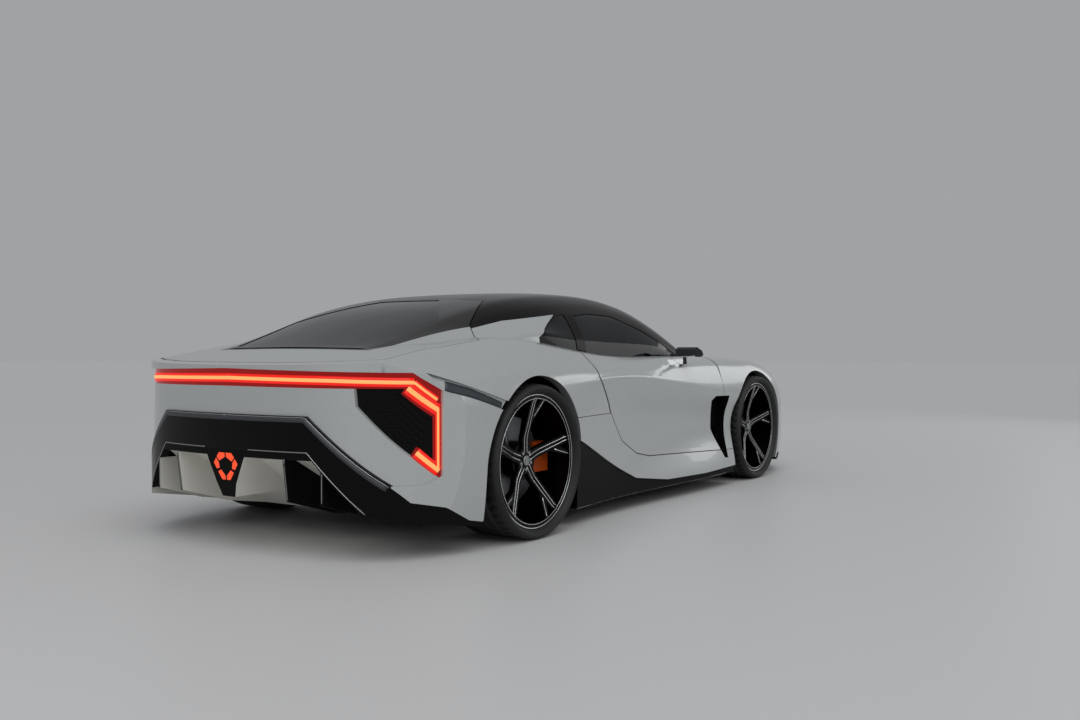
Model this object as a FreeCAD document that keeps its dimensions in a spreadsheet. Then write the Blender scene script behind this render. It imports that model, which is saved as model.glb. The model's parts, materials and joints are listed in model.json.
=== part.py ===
import FreeCAD, Part
import Sketcher
import math
import os
from FreeCAD import Vector

# A low two-seat supercar coupe with a long bonnet, as an assembly of its body panels, glass, cabin and
# running gear. +X points forward, +Y to the car's left and +Z up. The origin is on the floor under the
# middle of the whole car. Lengths are in millimetres. Tables whose names end in share or shares hold
# places as shares of the named sizes: along the car by station(), across it by half of body_width, and
# upwards by overall_height.

doc = FreeCAD.newDocument("supercar")
sheet = doc.addObject("Spreadsheet::Sheet", "sizes")

SIZES = [
    ("overall_height", 1195, "floor to the top of the roof"),
    ("body_width", 2020, "across the rear wheel arches"),
    ("wheelbase", 2725, "front axle to rear axle"),
    ("rear_overhang", 1007, "rear axle to the tail"),
    ("front_overhang", 958, "front axle to the nose"),
    ("ground_clearance", 85, "floor to the lowest edge of the body"),
    ("panel_skin", 28, "thickness of the roof, the bonnet and the tailgate"),
    ("wing_skin", 45, "thickness of fenders, quarter panels and bumper"),
    ("shut_gap", 5, "gap round a door, bonnet or tailgate"),
    ("lid_gap", 14, "gap at the free edge of a lid, which swings up and out"),
    ("seam_gap", 3, "gap between two fixed panels"),
    ("seat_gap", 0.4, "gap where one fixed piece lies on another"),
    ("overrun", 40, "how far a cutting tool runs past what it cuts"),
    ("door_step", 22, "how far a door's deep part stands back from its outer edge"),
    ("glass_depth", 3, "outer face of the glass below the roof's outer face"),
    ("glass_thickness", 5, "thickness of the glass"),
    ("groove_depth", 13, "depth of the groove from the lamp to the rear arch"),
    ("panel_recess", 15, "how far the tail panel lies inside the dark band"),
    ("lens_recess", 24, "how far the lamp housing lies inside the dark band"),
    ("mesh_recess", 30, "how far the mesh panels lie inside the dark band"),
    ("lens_thickness", 6, "thickness of the fog lamp's blocks"),
    ("beam_depth", 30, "thickness of the beams behind nose and tail"),
    ("floor_thickness", 25, "thickness of the floor"),
    ("floor_lift", 33, "underside of the floor above the body's lowest edge"),
    ("rear_tyre_radius", 360, "tyre outside radius, rear"),
    ("front_tyre_radius", 348, "tyre outside radius, front"),
    ("rear_tyre_width", 320, "tyre section width, rear"),
    ("front_tyre_width", 265, "tyre section width, front"),
    ("tyre_wall_height", 46, "sidewall from the rim's lip to the tread"),
    ("rear_tyre_inset", 24, "rear tyre's outer wall inside half of body_width"),
    ("front_tyre_inset", 50, "front tyre's outer wall inside half of body_width"),
    ("rear_arch_gap", 38, "tyre to arch edge, rear"),
    ("front_arch_gap", 36, "tyre to arch edge, front"),
    ("rim_lip", 12, "thickness of the rim's barrel"),
    ("rim_seat", 0.4, "gap between the rim and the tyre on it"),
    ("hub_recess", 62, "spokes' middle inside the rim's outer edge"),
    ("spoke_thickness", 24, "thickness of the spokes"),
    ("disc_thickness", 30, "brake disc thickness"),
    ("brake_gap", 6, "gap between the brake disc and what is beside it"),
    ("wheel_clearance", 12, "gap between a turning wheel and the wall beside it"),
    ("arm_thickness", 26, "thickness of a suspension arm"),
    ("fin_thickness", 12, "thickness of the diffuser's fins"),
    ("spindle_radius", 30, "spindle that each wheel turns on"),
    ("ball_joint_radius", 26, "round end of the front arms, which the knuckle turns under"),
    ("buffer_radius", 14, "rubber buffers that the closed lids rest on"),
    ("column_radius", 20, "steering column"),
    ("grip_thickness", 28, "thickness of the steering wheel's ring"),
]
for row, (alias, value, meaning) in enumerate(SIZES, 1):
    sheet.set(f"A{row}", alias)
    sheet.set(f"B{row}", str(value))
    sheet.set(f"C{row}", meaning)
    sheet.setAlias(f"B{row}", alias)
doc.recompute()


def size(alias):
    return float(sheet.get(alias))


HEIGHT = size("overall_height")
HALF_WIDTH = size("body_width") / 2
LENGTH = size("rear_overhang") + size("wheelbase") + size("front_overhang")
REAR_AXLE_X = -LENGTH / 2 + size("rear_overhang")
FRONT_AXLE_X = REAR_AXLE_X + size("wheelbase")
FLOOR_Z = size("ground_clearance")
OVERRUN = size("overrun")
GAP, SEAM, SEAT = size("shut_gap"), size("seam_gap"), size("seat_gap")
# places well outside the body, for the ends of cutting prisms
FAR_Y = 1.1 * HALF_WIDTH
TOP_Z = 1.1 * HEIGHT
LID_LOW_Z = 0.3 * HEIGHT


def station(share):
    """X at a place along the car: -1 is the tail, 0 the rear axle, 1 the front axle and 2 the nose."""
    if share < 0:
        return REAR_AXLE_X + share * size("rear_overhang")
    if share > 1:
        return FRONT_AXLE_X + (share - 1) * size("front_overhang")
    return REAR_AXLE_X + share * size("wheelbase")


def smooth_curve(places, values):
    """The natural cubic through (place, value) pairs, as a function of place."""
    count = len(places)
    gaps = [places[i + 1] - places[i] for i in range(count - 1)]
    slopes = [(values[i + 1] - values[i]) / gaps[i] for i in range(count - 1)]
    bend = [0.0] * count
    upper = [0.0] * count
    for i in range(1, count - 1):
        pivot = 2 * (gaps[i - 1] + gaps[i]) - gaps[i - 1] * upper[i - 1]
        upper[i] = gaps[i] / pivot
        bend[i] = (6 * (slopes[i] - slopes[i - 1]) - gaps[i - 1] * bend[i - 1]) / pivot
    for i in range(count - 2, 0, -1):
        bend[i] -= upper[i] * bend[i + 1]

    def value_at(place):
        i = 0
        while i < count - 2 and place > places[i + 1]:
            i += 1
        left = place - places[i]
        right = places[i + 1] - place
        gap = gaps[i]
        return (
            (bend[i] * right**3 + bend[i + 1] * left**3) / (6 * gap)
            + (values[i] / gap - bend[i] * gap / 6) * right
            + (values[i + 1] / gap - bend[i + 1] * gap / 6) * left
        )

    return value_at


def shape_curve(places, values):
    """A curve through (place, value) pairs that never overshoots them, as a function of place."""
    count = len(places)
    gaps = [places[i + 1] - places[i] for i in range(count - 1)]
    slopes = [(values[i + 1] - values[i]) / gaps[i] for i in range(count - 1)]
    tangents = [slopes[0]] + [0.0] * (count - 2) + [slopes[-1]]
    for i in range(1, count - 1):
        if slopes[i - 1] * slopes[i] > 0:
            tangents[i] = 2 * slopes[i - 1] * slopes[i] / (slopes[i - 1] + slopes[i])

    def value_at(place):
        i = 0
        while i < count - 2 and place > places[i + 1]:
            i += 1
        gap = gaps[i]
        t = (place - places[i]) / gap
        rise = values[i + 1] - values[i]
        bend_in, bend_out = tangents[i] * gap, tangents[i + 1] * gap
        cubic = bend_in + bend_out - 2 * rise
        return values[i] + bend_in * t + (3 * rise - 2 * bend_in - bend_out) * t**2 + cubic * t**3

    return value_at


# The lower body's guide lines run the length of the car. From the first: the bottom edge, three lines up
# the side, the door's crease, the shoulder, the top of the haunch and fender, and three lines in to the
# middle.
LOWER_STATION_SHARES = [-1.08, -0.77, -0.40, 0.0, 0.165, 0.345, 0.565, 0.785, 1.0, 1.44, 1.75, 2.08]
LOWER_Y_SHARES = [
    [0.70, 0.80, 0.92, 0.95, 0.925, 0.90, 0.92, 0.935, 0.925, 0.90, 0.80, 0.62],
    [0.73, 0.83, 0.94, 0.966, 0.925, 0.885, 0.90, 0.92, 0.94, 0.92, 0.82, 0.65],
    [0.75, 0.85, 0.952, 0.98, 0.935, 0.875, 0.87, 0.88, 0.95, 0.93, 0.83, 0.66],
    [0.76, 0.86, 0.96, 0.984, 0.942, 0.89, 0.872, 0.875, 0.952, 0.93, 0.825, 0.64],
    [0.765, 0.862, 0.958, 0.98, 0.94, 0.928, 0.92, 0.92, 0.945, 0.92, 0.80, 0.60],
    [0.755, 0.85, 0.94, 0.965, 0.93, 0.905, 0.897, 0.888, 0.915, 0.88, 0.745, 0.52],
    [0.725, 0.815, 0.885, 0.915, 0.89, 0.85, 0.84, 0.835, 0.855, 0.80, 0.65, 0.42],
    [0.64, 0.72, 0.738, 0.755, 0.775, 0.78, 0.775, 0.75, 0.73, 0.67, 0.51, 0.33],
    [0.36, 0.42, 0.44, 0.46, 0.46, 0.46, 0.46, 0.44, 0.42, 0.38, 0.28, 0.18],
    [0.0] * 12,
]
LOWER_Z_SHARES = [
    [0.0711] * 12,
    [0.160] * 12,
    [0.275] * 12,
    [0.395, 0.395, 0.395, 0.405, 0.42, 0.43, 0.40, 0.375, 0.39, 0.39, 0.385, 0.38],
    [0.510, 0.515, 0.53, 0.555, 0.585, 0.602, 0.555, 0.503, 0.50, 0.49, 0.475, 0.43],
    [0.590, 0.598, 0.610, 0.622, 0.63, 0.640, 0.638, 0.634, 0.605, 0.572, 0.53, 0.455],
    [0.640, 0.650, 0.668, 0.678, 0.675, 0.678, 0.681, 0.679, 0.662, 0.628, 0.572, 0.485],
    [0.662, 0.702, 0.748, 0.780, 0.748, 0.707, 0.70, 0.697, 0.684, 0.651, 0.592, 0.495],
    [0.667, 0.712, 0.766, 0.800, 0.76, 0.72, 0.716, 0.714, 0.697, 0.664, 0.604, 0.50],
    [0.668, 0.716, 0.770, 0.803, 0.765, 0.725, 0.722, 0.722, 0.706, 0.673, 0.611, 0.503],
]
LOWER_STEP_COUNTS = [1, 1, 1, 2, 2, 2, 2, 3, 4]
LOWER_STATION_COUNT = 21

# The greenhouse: the same kind of lines, from a base hidden in the lower body, up past the belt and the
# side windows, over the roof's edge to the middle
UPPER_STATION_SHARES = [-0.62, -0.41, -0.06, 0.12, 0.235, 0.36, 0.476, 0.58, 0.67, 0.77]
UPPER_Y_SHARES = [
    [0.74, 0.75, 0.77, 0.787, 0.787, 0.787, 0.787, 0.782, 0.775, 0.77],
    [0.728, 0.735, 0.755, 0.777, 0.779, 0.777, 0.777, 0.775, 0.77, 0.76],
    [0.60, 0.63, 0.665, 0.70, 0.715, 0.705, 0.715, 0.735, 0.75, 0.745],
    [0.50, 0.53, 0.572, 0.605, 0.615, 0.605, 0.62, 0.665, 0.715, 0.72],
    [0.426, 0.445, 0.478, 0.50, 0.508, 0.505, 0.522, 0.572, 0.64, 0.65],
    [0.22, 0.23, 0.25, 0.27, 0.27, 0.27, 0.28, 0.31, 0.34, 0.35],
    [0.0] * 10,
]
UPPER_Z_SHARES = [
    [0.50] * 10,
    [0.66, 0.72, 0.755, 0.78, 0.735, 0.71, 0.706, 0.705, 0.68, 0.61],
    [0.70, 0.752, 0.80, 0.85, 0.862, 0.862, 0.84, 0.79, 0.72, 0.65],
    [0.722, 0.770, 0.846, 0.914, 0.942, 0.950, 0.926, 0.862, 0.765, 0.682],
    [0.735, 0.784, 0.875, 0.948, 0.976, 0.985, 0.966, 0.905, 0.808, 0.708],
    [0.738, 0.794, 0.890, 0.965, 0.992, 1.0, 0.984, 0.928, 0.833, 0.722],
    [0.740, 0.797, 0.894, 0.968, 0.995, 1.002, 0.987, 0.933, 0.839, 0.727],
]
UPPER_STEP_COUNTS = [2, 2, 3, 2, 3, 3]
UPPER_STATION_COUNT = 15
FLAT_END_SHARE = 0.01


def inset_points(points, depth):
    """The corners of a half cross-section, moved inwards along their own normals."""
    moved_points = []
    last = len(points) - 1
    for i, (y, z) in enumerate(points):
        before = points[max(i - 1, 0)]
        after = points[i + 1] if i < last else (-points[last - 1][0], points[last - 1][1])
        dy, dz = after[0] - before[0], after[1] - before[1]
        run = math.hypot(dy, dz)
        moved_points.append((y - depth * dz / run, z + depth * dy / run))
    return moved_points


def section_points(guides, x, depth):
    """The right half of a cross-section at x, taken inwards by depth, bottom first, as (y, z) pairs."""
    corners = inset_points([(y(x), z(x)) for y, z in zip(guides[0], guides[1])], depth)
    ys = [y for y, z in corners]
    zs = [z for y, z in corners]
    along = [0.0]
    for i in range(1, len(ys)):
        along.append(along[-1] + math.hypot(ys[i] - ys[i - 1], zs[i] - zs[i - 1]))
    full = along[-1]
    # the other half follows, so that the curve crosses the middle level
    both_ways = along + [2 * full - a for a in reversed(along[:-1])]
    y_curve = shape_curve(both_ways, ys + [-y for y in reversed(ys[:-1])])
    z_curve = shape_curve(both_ways, zs + list(reversed(zs[:-1])))
    steps = []
    for i in range(len(along) - 1):
        count = guides[2][i]
        steps += [along[i] + (along[i + 1] - along[i]) * k / count for k in range(count)]
    steps.append(full)
    return [(y_curve(a), z_curve(a)) for a in steps]


def guide_lines(station_shares, y_shares, z_shares, step_counts):
    """The guide lines as functions of x, with how many steps the skin takes between each two of them."""
    places = [station(share) for share in station_shares]
    ys = [smooth_curve(places, [share * HALF_WIDTH for share in row]) for row in y_shares]
    zs = [smooth_curve(places, [share * HEIGHT for share in row]) for row in z_shares]
    return ys, zs, step_counts


def evenly_paced(points):
    curve = Part.BSplineCurve()
    curve.interpolate(Points=points, Parameters=[float(i) for i in range(len(points))])
    return curve


def skin_through(grid):
    """The smooth surface through a grid of points, evenly paced both ways so that no row loops."""
    rows = [evenly_paced(points) for points in grid]
    columns = [evenly_paced([row.getPole(j + 1) for row in rows]) for j in range(rows[0].NbPoles)]
    poles = [[column.getPole(i + 1) for column in columns] for i in range(columns[0].NbPoles)]
    skin = Part.BSplineSurface()
    skin.buildFromPolesMultsKnots(
        poles, columns[0].getMultiplicities(), rows[0].getMultiplicities(),
        columns[0].getKnots(), rows[0].getKnots(), False, False, columns[0].Degree, rows[0].Degree,
    )
    return skin


def close_below(face):
    """A solid from an arched face whose two long lower edges lie on one level and whose ends are flat."""
    arches = [e for e in face.Edges if e.BoundBox.XLength < FLAT_END_SHARE * face.BoundBox.XLength]
    lower = [e for e in face.Edges if e.BoundBox.XLength >= FLAT_END_SHARE * face.BoundBox.XLength]
    faces = [face]
    closing = []
    for arch in arches:
        foot = Part.makeLine(arch.Vertexes[0].Point, arch.Vertexes[-1].Point)
        closing.append(foot)
        faces.append(Part.Face(Part.Wire(Part.__sortEdges__([arch, foot]))))
    faces.append(Part.Face(Part.Wire(Part.__sortEdges__(lower + closing))))
    shell = Part.Shell(faces)
    shell.sewShape()
    solid = Part.Solid(shell)
    if solid.Volume < 0:
        solid.reverse()
    return solid


def hull_solid(guides, x_low, x_high, station_count, depth, bottom_z):
    """The closed solid under a guided skin, taken inwards by depth, with a flat bottom and flat ends."""
    grid = []
    for i in range(station_count):
        x = x_low + (x_high - x_low) * i / (station_count - 1)
        half = section_points(guides, x, depth)
        half[0] = (half[0][0], bottom_z)
        right = [Vector(x, -y, z) for y, z in half]
        left = [Vector(x, y, z) for y, z in reversed(half[:-1])]
        grid.append(right + left)
    return close_below(skin_through(grid).toShape())


LOWER_GUIDES = guide_lines(LOWER_STATION_SHARES, LOWER_Y_SHARES, LOWER_Z_SHARES, LOWER_STEP_COUNTS)
UPPER_GUIDES = guide_lines(UPPER_STATION_SHARES, UPPER_Y_SHARES, UPPER_Z_SHARES, UPPER_STEP_COUNTS)
HULL_END_SHARES = (-1.05, 2.05)
GREENHOUSE_END_SHARES = (-0.60, 0.765)
GREENHOUSE_BASE_Z = UPPER_Z_SHARES[0][0] * HEIGHT


def lower_hull(depth):
    low, high = (station(share) for share in HULL_END_SHARES)
    run = OVERRUN if depth else 0
    return hull_solid(LOWER_GUIDES, low - run, high + run, LOWER_STATION_COUNT, depth, FLOOR_Z - run)


def greenhouse(depth):
    low, high = (station(share) for share in GREENHOUSE_END_SHARES)
    run = SEAM if depth else 0
    base = GREENHOUSE_BASE_Z - 2 * run
    return hull_solid(UPPER_GUIDES, low - run, high + run, UPPER_STATION_COUNT, depth, base)


def prism(points, sweep):
    return Part.Face(Part.makePolygon(points + points[:1])).extrude(sweep)


def offset_outline(points, margin):
    """The corners of a flat outline moved outwards by margin, or inwards if it is negative."""
    if not margin:
        return points
    face = Part.Face(Part.makePolygon(points + points[:1]))
    return [v.Point for v in face.makeOffset2D(margin, join=2).OuterWire.OrderedVertexes]


def side_prism(outline_shares, y_low, y_high, margin=0):
    """A prism across the car from an outline of (station, height) shares seen from the side."""
    flat = offset_outline([Vector(station(s), h * HEIGHT, 0) for s, h in outline_shares], margin)
    return prism([Vector(p.x, y_low, p.y) for p in flat], Vector(0, y_high - y_low, 0))


def plan_prism(half_shares, z_low, z_high, margin=0):
    """An upright prism from a half outline of (station, width) shares seen from above, and its mirror."""
    half = [Vector(station(s), w * HALF_WIDTH, 0) for s, w in half_shares]
    flat = offset_outline(half + [Vector(p.x, -p.y, 0) for p in reversed(half) if p.y > 0], margin)
    return prism([Vector(p.x, p.y, z_low) for p in flat], Vector(0, 0, z_high - z_low))


def face_prism(outline_shares, x_low, x_high, margin=0):
    """A prism along the car from an outline of (width, height) shares seen from behind, on the left side."""
    flat = offset_outline([Vector(w * HALF_WIDTH, h * HEIGHT, 0) for w, h in outline_shares], margin)
    return prism([Vector(x_low, p.x, p.y) for p in flat], Vector(x_high - x_low, 0, 0))


def face_prisms(half_shares, x_low, x_high):
    """A prism along the car from a half outline of (width, height) shares, closed across the middle."""
    half = [Vector(x_low, w * HALF_WIDTH, h * HEIGHT) for w, h in half_shares]
    other = [Vector(p.x, -p.y, p.z) for p in reversed(half) if p.y > 0]
    return prism(half + other, Vector(x_high - x_low, 0, 0))


def block(x_low, x_high, y_low, y_high, z_low, z_high):
    return Part.makeBox(x_high - x_low, y_high - y_low, z_high - z_low, Vector(x_low, y_low, z_low))


def cross_block(x_low, x_high, half_y, z_low, z_high):
    return block(x_low, x_high, -half_y, half_y, z_low, z_high)


def cross_cylinder(radius, x, z, y_low, y_high):
    return Part.makeCylinder(radius, y_high - y_low, Vector(x, y_low, z), Vector(0, 1, 0))


def moved(shape, x=0, y=0, z=0):
    copy = shape.copy()
    copy.translate(Vector(x, y, z))
    return copy


def turned(shape, angle, axis=Vector(0, 1, 0)):
    copy = shape.copy()
    copy.rotate(Vector(0, 0, 0), axis, angle)
    return copy


def mirrored(shape):
    return shape.mirror(Vector(0, 0, 0), Vector(0, 1, 0))


def both_sides(shape):
    return [shape, mirrored(shape)]


def union(shapes):
    return shapes[0].multiFuse(shapes[1:]) if len(shapes) > 1 else shapes[0]


nodes = {}
subparts = []
SLIVER_SHARE = 0.002


def keep_object(item, name):
    """Name a finished object of the document, and list it for the export."""
    item.Label = name
    subparts.append(item)
    return item


def add(name, *shapes):
    """Keep the solids of a node as one object, without stray slivers."""
    solids = sorted((s for shape in shapes for s in shape.Solids), key=lambda s: -s.Volume)
    keep = [s for s in solids if s.Volume > SLIVER_SHARE * solids[0].Volume]
    nodes[name] = Part.makeCompound(keep) if len(keep) > 1 else keep[0]
    item = keep_object(doc.addObject("Part::Feature", name), name)
    item.Shape = nodes[name]


def add_pair(name, left_shape):
    add(name + "_left", left_shape)
    add(name + "_right", mirrored(left_shape))


def add_both(name, left_shape):
    add(name, left_shape, mirrored(left_shape))


# Pieces made of plain solids and sketches are bound to the sheet by expressions in its names
REAR_AXLE_AT = "(sizes.rear_overhang - sizes.wheelbase - sizes.front_overhang) / 2"
AXLE_AT = {"rear": REAR_AXLE_AT, "front": f"{REAR_AXLE_AT} + sizes.wheelbase"}
FLOOR_TOP_AT = "sizes.ground_clearance + sizes.floor_lift + sizes.floor_thickness + sizes.seat_gap"


def bind(item, **expressions):
    for name, expression in expressions.items():
        item.setExpression(name, expression)
    return item


def bind_place(item, x, y, z):
    for axis, expression in zip("xyz", (x, y, z)):
        item.setExpression(f"Placement.Base.{axis}", expression)
    return item


def bound_drum(name, radius, y_low, y_high):
    """A cylinder about the Y axis, with its radius and its two ends as expressions."""
    item = doc.addObject("Part::Cylinder", name)
    item.Placement = FreeCAD.Placement(Vector(), FreeCAD.Rotation(Vector(1, 0, 0), -90))
    bind(item, Radius=radius, Height=f"({y_high}) - ({y_low})")
    return bind_place(item, "0", y_low, "0")


def bound_cut(name, base, tool):
    item = doc.addObject("Part::Cut", name)
    item.Base, item.Tool = base, tool
    return item


def bound_fuse(name, shapes):
    item = doc.addObject("Part::MultiFuse", name)
    item.Shapes = shapes
    item.Refine = True
    return item


def mirror_object(source, name):
    """The right-hand twin of a left-hand object."""
    item = doc.addObject("Part::Mirroring", name)
    item.Source = source
    item.Normal = Vector(0, 1, 0)
    return keep_object(item, name)


def plane_of(owner, role):
    return next(plane for plane in owner.Origin.OriginFeatures if plane.Role == role)


def bound_sketch(owner, role, corners):
    """A closed sketch in an owner's plane, whose corners are pairs of expressions, held to its axes."""
    sketch = owner.newObject("Sketcher::SketchObject", owner.Name + "_outline")
    sketch.AttachmentSupport = [(plane_of(owner, role), "")]
    sketch.MapMode = "FlatFace"
    places = [[float(sheet.evalExpression(part)) for part in corner] for corner in corners]
    count = len(corners)
    for i in range(count):
        ends = [Vector(*places[k % count], 0) for k in (i, i + 1)]
        sketch.addGeometry(Part.LineSegment(*ends))
    for i in range(count):
        sketch.addConstraint(Sketcher.Constraint("Coincident", i, 2, (i + 1) % count, 1))
    for i in range(count):
        for kind, axis, value, expression in zip(("DistanceX", "DistanceY"), (-2, -1), places[i], corners[i]):
            if not value:
                sketch.addConstraint(Sketcher.Constraint("PointOnObject", i, 1, axis))
                continue
            ends = (-1, 1, i, 1) if value > 0 else (i, 1, -1, 1)
            row = sketch.addConstraint(Sketcher.Constraint(kind, *ends, abs(value)))
            sketch.setExpression(f"Constraints[{row}]", expression if value > 0 else f"-({expression})")
    return sketch


# The whole outline seen from above and from the side gives the nose and the tail their shapes
TAIL_PLAN_SHARES = [
    (-1.0, 0.0), (-0.994, 0.2), (-0.968, 0.42), (-0.915, 0.60),
    (-0.84, 0.72), (-0.74, 0.81), (-0.60, 0.885), (-0.45, 1.0),
]
NOSE_PLAN_SHARES = [
    (2.0, 0.0), (1.993, 0.2), (1.965, 0.42), (1.90, 0.62), (1.80, 0.765), (1.65, 0.87), (1.40, 1.0),
]
SIDE_SHARES = [
    (-0.39, 0.0), (-0.39, 0.093), (-0.87, 0.158), (-0.975, 0.185), (-0.992, 0.25), (-1.0, 0.36),
    (-1.0, 0.677), (-0.985, 0.70), (-0.90, 0.90), (1.60, 0.90), (1.90, 0.58), (1.965, 0.535),
    (1.99, 0.47), (2.0, 0.38), (2.0, 0.26), (1.985, 0.13), (1.97, 0.0),
]


def plan_curve(half_shares):
    """A smooth line across the car through mirrored points of (station, width) shares."""
    half = [Vector(station(s), w * HALF_WIDTH, 0) for s, w in half_shares]
    curve = Part.BSplineCurve()
    curve.interpolate([Vector(p.x, -p.y, 0) for p in reversed(half[1:])] + half)
    return curve.toShape()


def outline_solid():
    edges = [plan_curve(TAIL_PLAN_SHARES), plan_curve(NOSE_PLAN_SHARES)]
    for side in (-1, 1):
        ends = [Vector(station(s), side * w * HALF_WIDTH, 0)
                for s, w in (TAIL_PLAN_SHARES[-1], NOSE_PLAN_SHARES[-1])]
        wide = [Vector(p.x, side * FAR_Y, 0) for p in ends]
        edges += [Part.makeLine(ends[0], wide[0]), Part.makeLine(wide[0], wide[1]),
                  Part.makeLine(wide[1], ends[1])]
    plan = Part.Face(Part.Wire(Part.__sortEdges__(edges))).extrude(Vector(0, 0, HEIGHT))
    return plan.common(side_prism(SIDE_SHARES, -FAR_Y, FAR_Y))


def body_core(depth):
    """The space inside the lower body's skin."""
    ends = outline.common(moved(outline, x=depth)).common(moved(outline, x=-depth))
    return lower_hull(depth).common(ends)


outline = outline_solid()
body = lower_hull(0).common(outline)
core = body_core(size("wing_skin"))
core_seat = body_core(size("wing_skin") + SEAT)

# Wheel wells, open to the outside and below
WELL_WALL_SHARES = {"rear": 0.628, "front": 0.515}
RADIUS = {end: size(end + "_tyre_radius") for end in ("rear", "front")}
WIDTH = {end: size(end + "_tyre_width") for end in ("rear", "front")}
MID_Y = {end: HALF_WIDTH - size(end + "_tyre_inset") - WIDTH[end] / 2 for end in ("rear", "front")}
AXLE_X = {"rear": REAR_AXLE_X, "front": FRONT_AXLE_X}


def wheel_well(end):
    radius = RADIUS[end] + size(end + "_arch_gap")
    wall = WELL_WALL_SHARES[end] * HALF_WIDTH
    x = AXLE_X[end]
    drum = cross_cylinder(radius, x, RADIUS[end], wall, FAR_Y)
    return drum.fuse(block(x - radius, x + radius, wall, FAR_Y, 0, RADIUS[end]))


wells = union(both_sides(wheel_well("rear")) + both_sides(wheel_well("front")))
shell = body.cut(core).cut(wells)
lid_hull = body.cut(moved(body, z=-size("panel_skin")))
cabin = greenhouse(0)
roof_shell = cabin.cut(greenhouse(size("panel_skin"))).cut(core)
glass_out = size("glass_depth")
glass = greenhouse(glass_out).cut(greenhouse(glass_out + size("glass_thickness")))
above_body = moved(body, z=SEAT)
glass = glass.cut(above_body)

# The outlet behind the front wheel, a wedge cut from fender, door and rocker panel
VENT_SHARES = [(0.735, 0.447), (0.765, 0.488), (0.835, 0.484), (0.825, 0.151), (0.808, 0.154)]
VENT_PLAN_SHARES = [(0.735, 0.925), (0.79, 0.835), (0.84, 0.835), (0.84, 1.1), (0.735, 1.1)]
vent_plan = [Vector(station(s), w * HALF_WIDTH, 0) for s, w in VENT_PLAN_SHARES]
vent = side_prism(VENT_SHARES, 0, FAR_Y).common(prism(vent_plan, Vector(0, 0, HEIGHT)))

# Doors: an outer skin with a smaller, deeper part behind it
DOOR_SHARES = [
    (0.227, 0.74), (0.226, 0.612), (0.279, 0.455), (0.343, 0.322), (0.411, 0.252), (0.462, 0.231),
    (0.795, 0.199), (0.803, 0.215), (0.803, 0.52), (0.793, 0.64), (0.790, 0.74),
]
DOOR_INSIDE_SHARE = 0.733
door_inside_y = DOOR_INSIDE_SHARE * HALF_WIDTH
door_skin = body.cut(core).common(side_prism(DOOR_SHARES, door_inside_y, FAR_Y))
door_deep = body.common(side_prism(DOOR_SHARES, door_inside_y, FAR_Y, margin=-size("door_step")))
add_pair("door", door_skin.fuse(door_deep).cut(vent))
door_opening = side_prism(DOOR_SHARES, door_inside_y - OVERRUN, FAR_Y, margin=GAP)

# The bonnet and the openings that the two lids leave, wider at their free edges
BONNET_SHARES = [
    (0.781, 0.0), (0.781, 0.66), (1.2, 0.665), (1.52, 0.60), (1.64, 0.47), (1.685, 0.25), (1.69, 0.0),
]
TAILGATE_SHARES = [
    (0.087, 0.0), (0.087, 0.46), (-0.06, 0.60), (-0.178, 0.745), (-0.455, 0.733), (-0.518, 0.71),
    (-0.765, 0.715), (-0.80, 0.69), (-0.855, 0.585), (-0.905, 0.42), (-0.93, 0.25), (-0.94, 0.0),
]
free_edge = size("lid_gap") - GAP
add("bonnet", lid_hull.common(plan_prism(BONNET_SHARES, LID_LOW_Z, TOP_Z)))
bonnet_opening = plan_prism(BONNET_SHARES, LID_LOW_Z, TOP_Z, margin=GAP)
bonnet_opening = bonnet_opening.fuse(moved(bonnet_opening, x=free_edge))
tailgate_opening = plan_prism(TAILGATE_SHARES, LID_LOW_Z, TOP_Z, margin=GAP)
tailgate_opening = tailgate_opening.fuse(moved(tailgate_opening, x=-free_edge))

# The rocker panel below the door reaches up behind it to the rear arch; a dark skirt runs below it
ROCKER_SHARES = [
    (0.10, 0.453), (0.34, 0.453), (0.60, 0.34), (0.86, 0.30), (0.86, 0.105), (0.694, 0.098),
    (0.521, 0.105), (0.396, 0.140), (0.231, 0.285), (0.16, 0.345), (0.10, 0.39),
]
SKIRT_SHARES = [
    (0.10, 0.39), (0.16, 0.345), (0.231, 0.285), (0.396, 0.140), (0.521, 0.105), (0.694, 0.098),
    (0.86, 0.105), (0.86, 0.03), (0.10, 0.03),
]
FENDER_LOW_SHARES = [(0.80, 0.195), (0.80, 0.80), (0.90, 0.80), (0.90, 0.195)]
rocker_zone = side_prism(ROCKER_SHARES, door_inside_y, FAR_Y)
rocker = body.common(rocker_zone).cut([door_opening, wells, vent])
add_pair("rocker_panel", rocker.cut(side_prism(FENDER_LOW_SHARES, 0, FAR_Y, margin=SEAM)))
skirt = body.common(side_prism(SKIRT_SHARES, door_inside_y, FAR_Y, margin=-SEAT)).cut(wells)
skirt = skirt.common(lower_hull(size("panel_recess") / 2))
add_both("side_skirts", skirt)
sill_zone = side_prism(ROCKER_SHARES, door_inside_y - SEAT, FAR_Y, margin=SEAM)
skirt_zone = side_prism(SKIRT_SHARES, door_inside_y - SEAT, FAR_Y, margin=SEAT)

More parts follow.
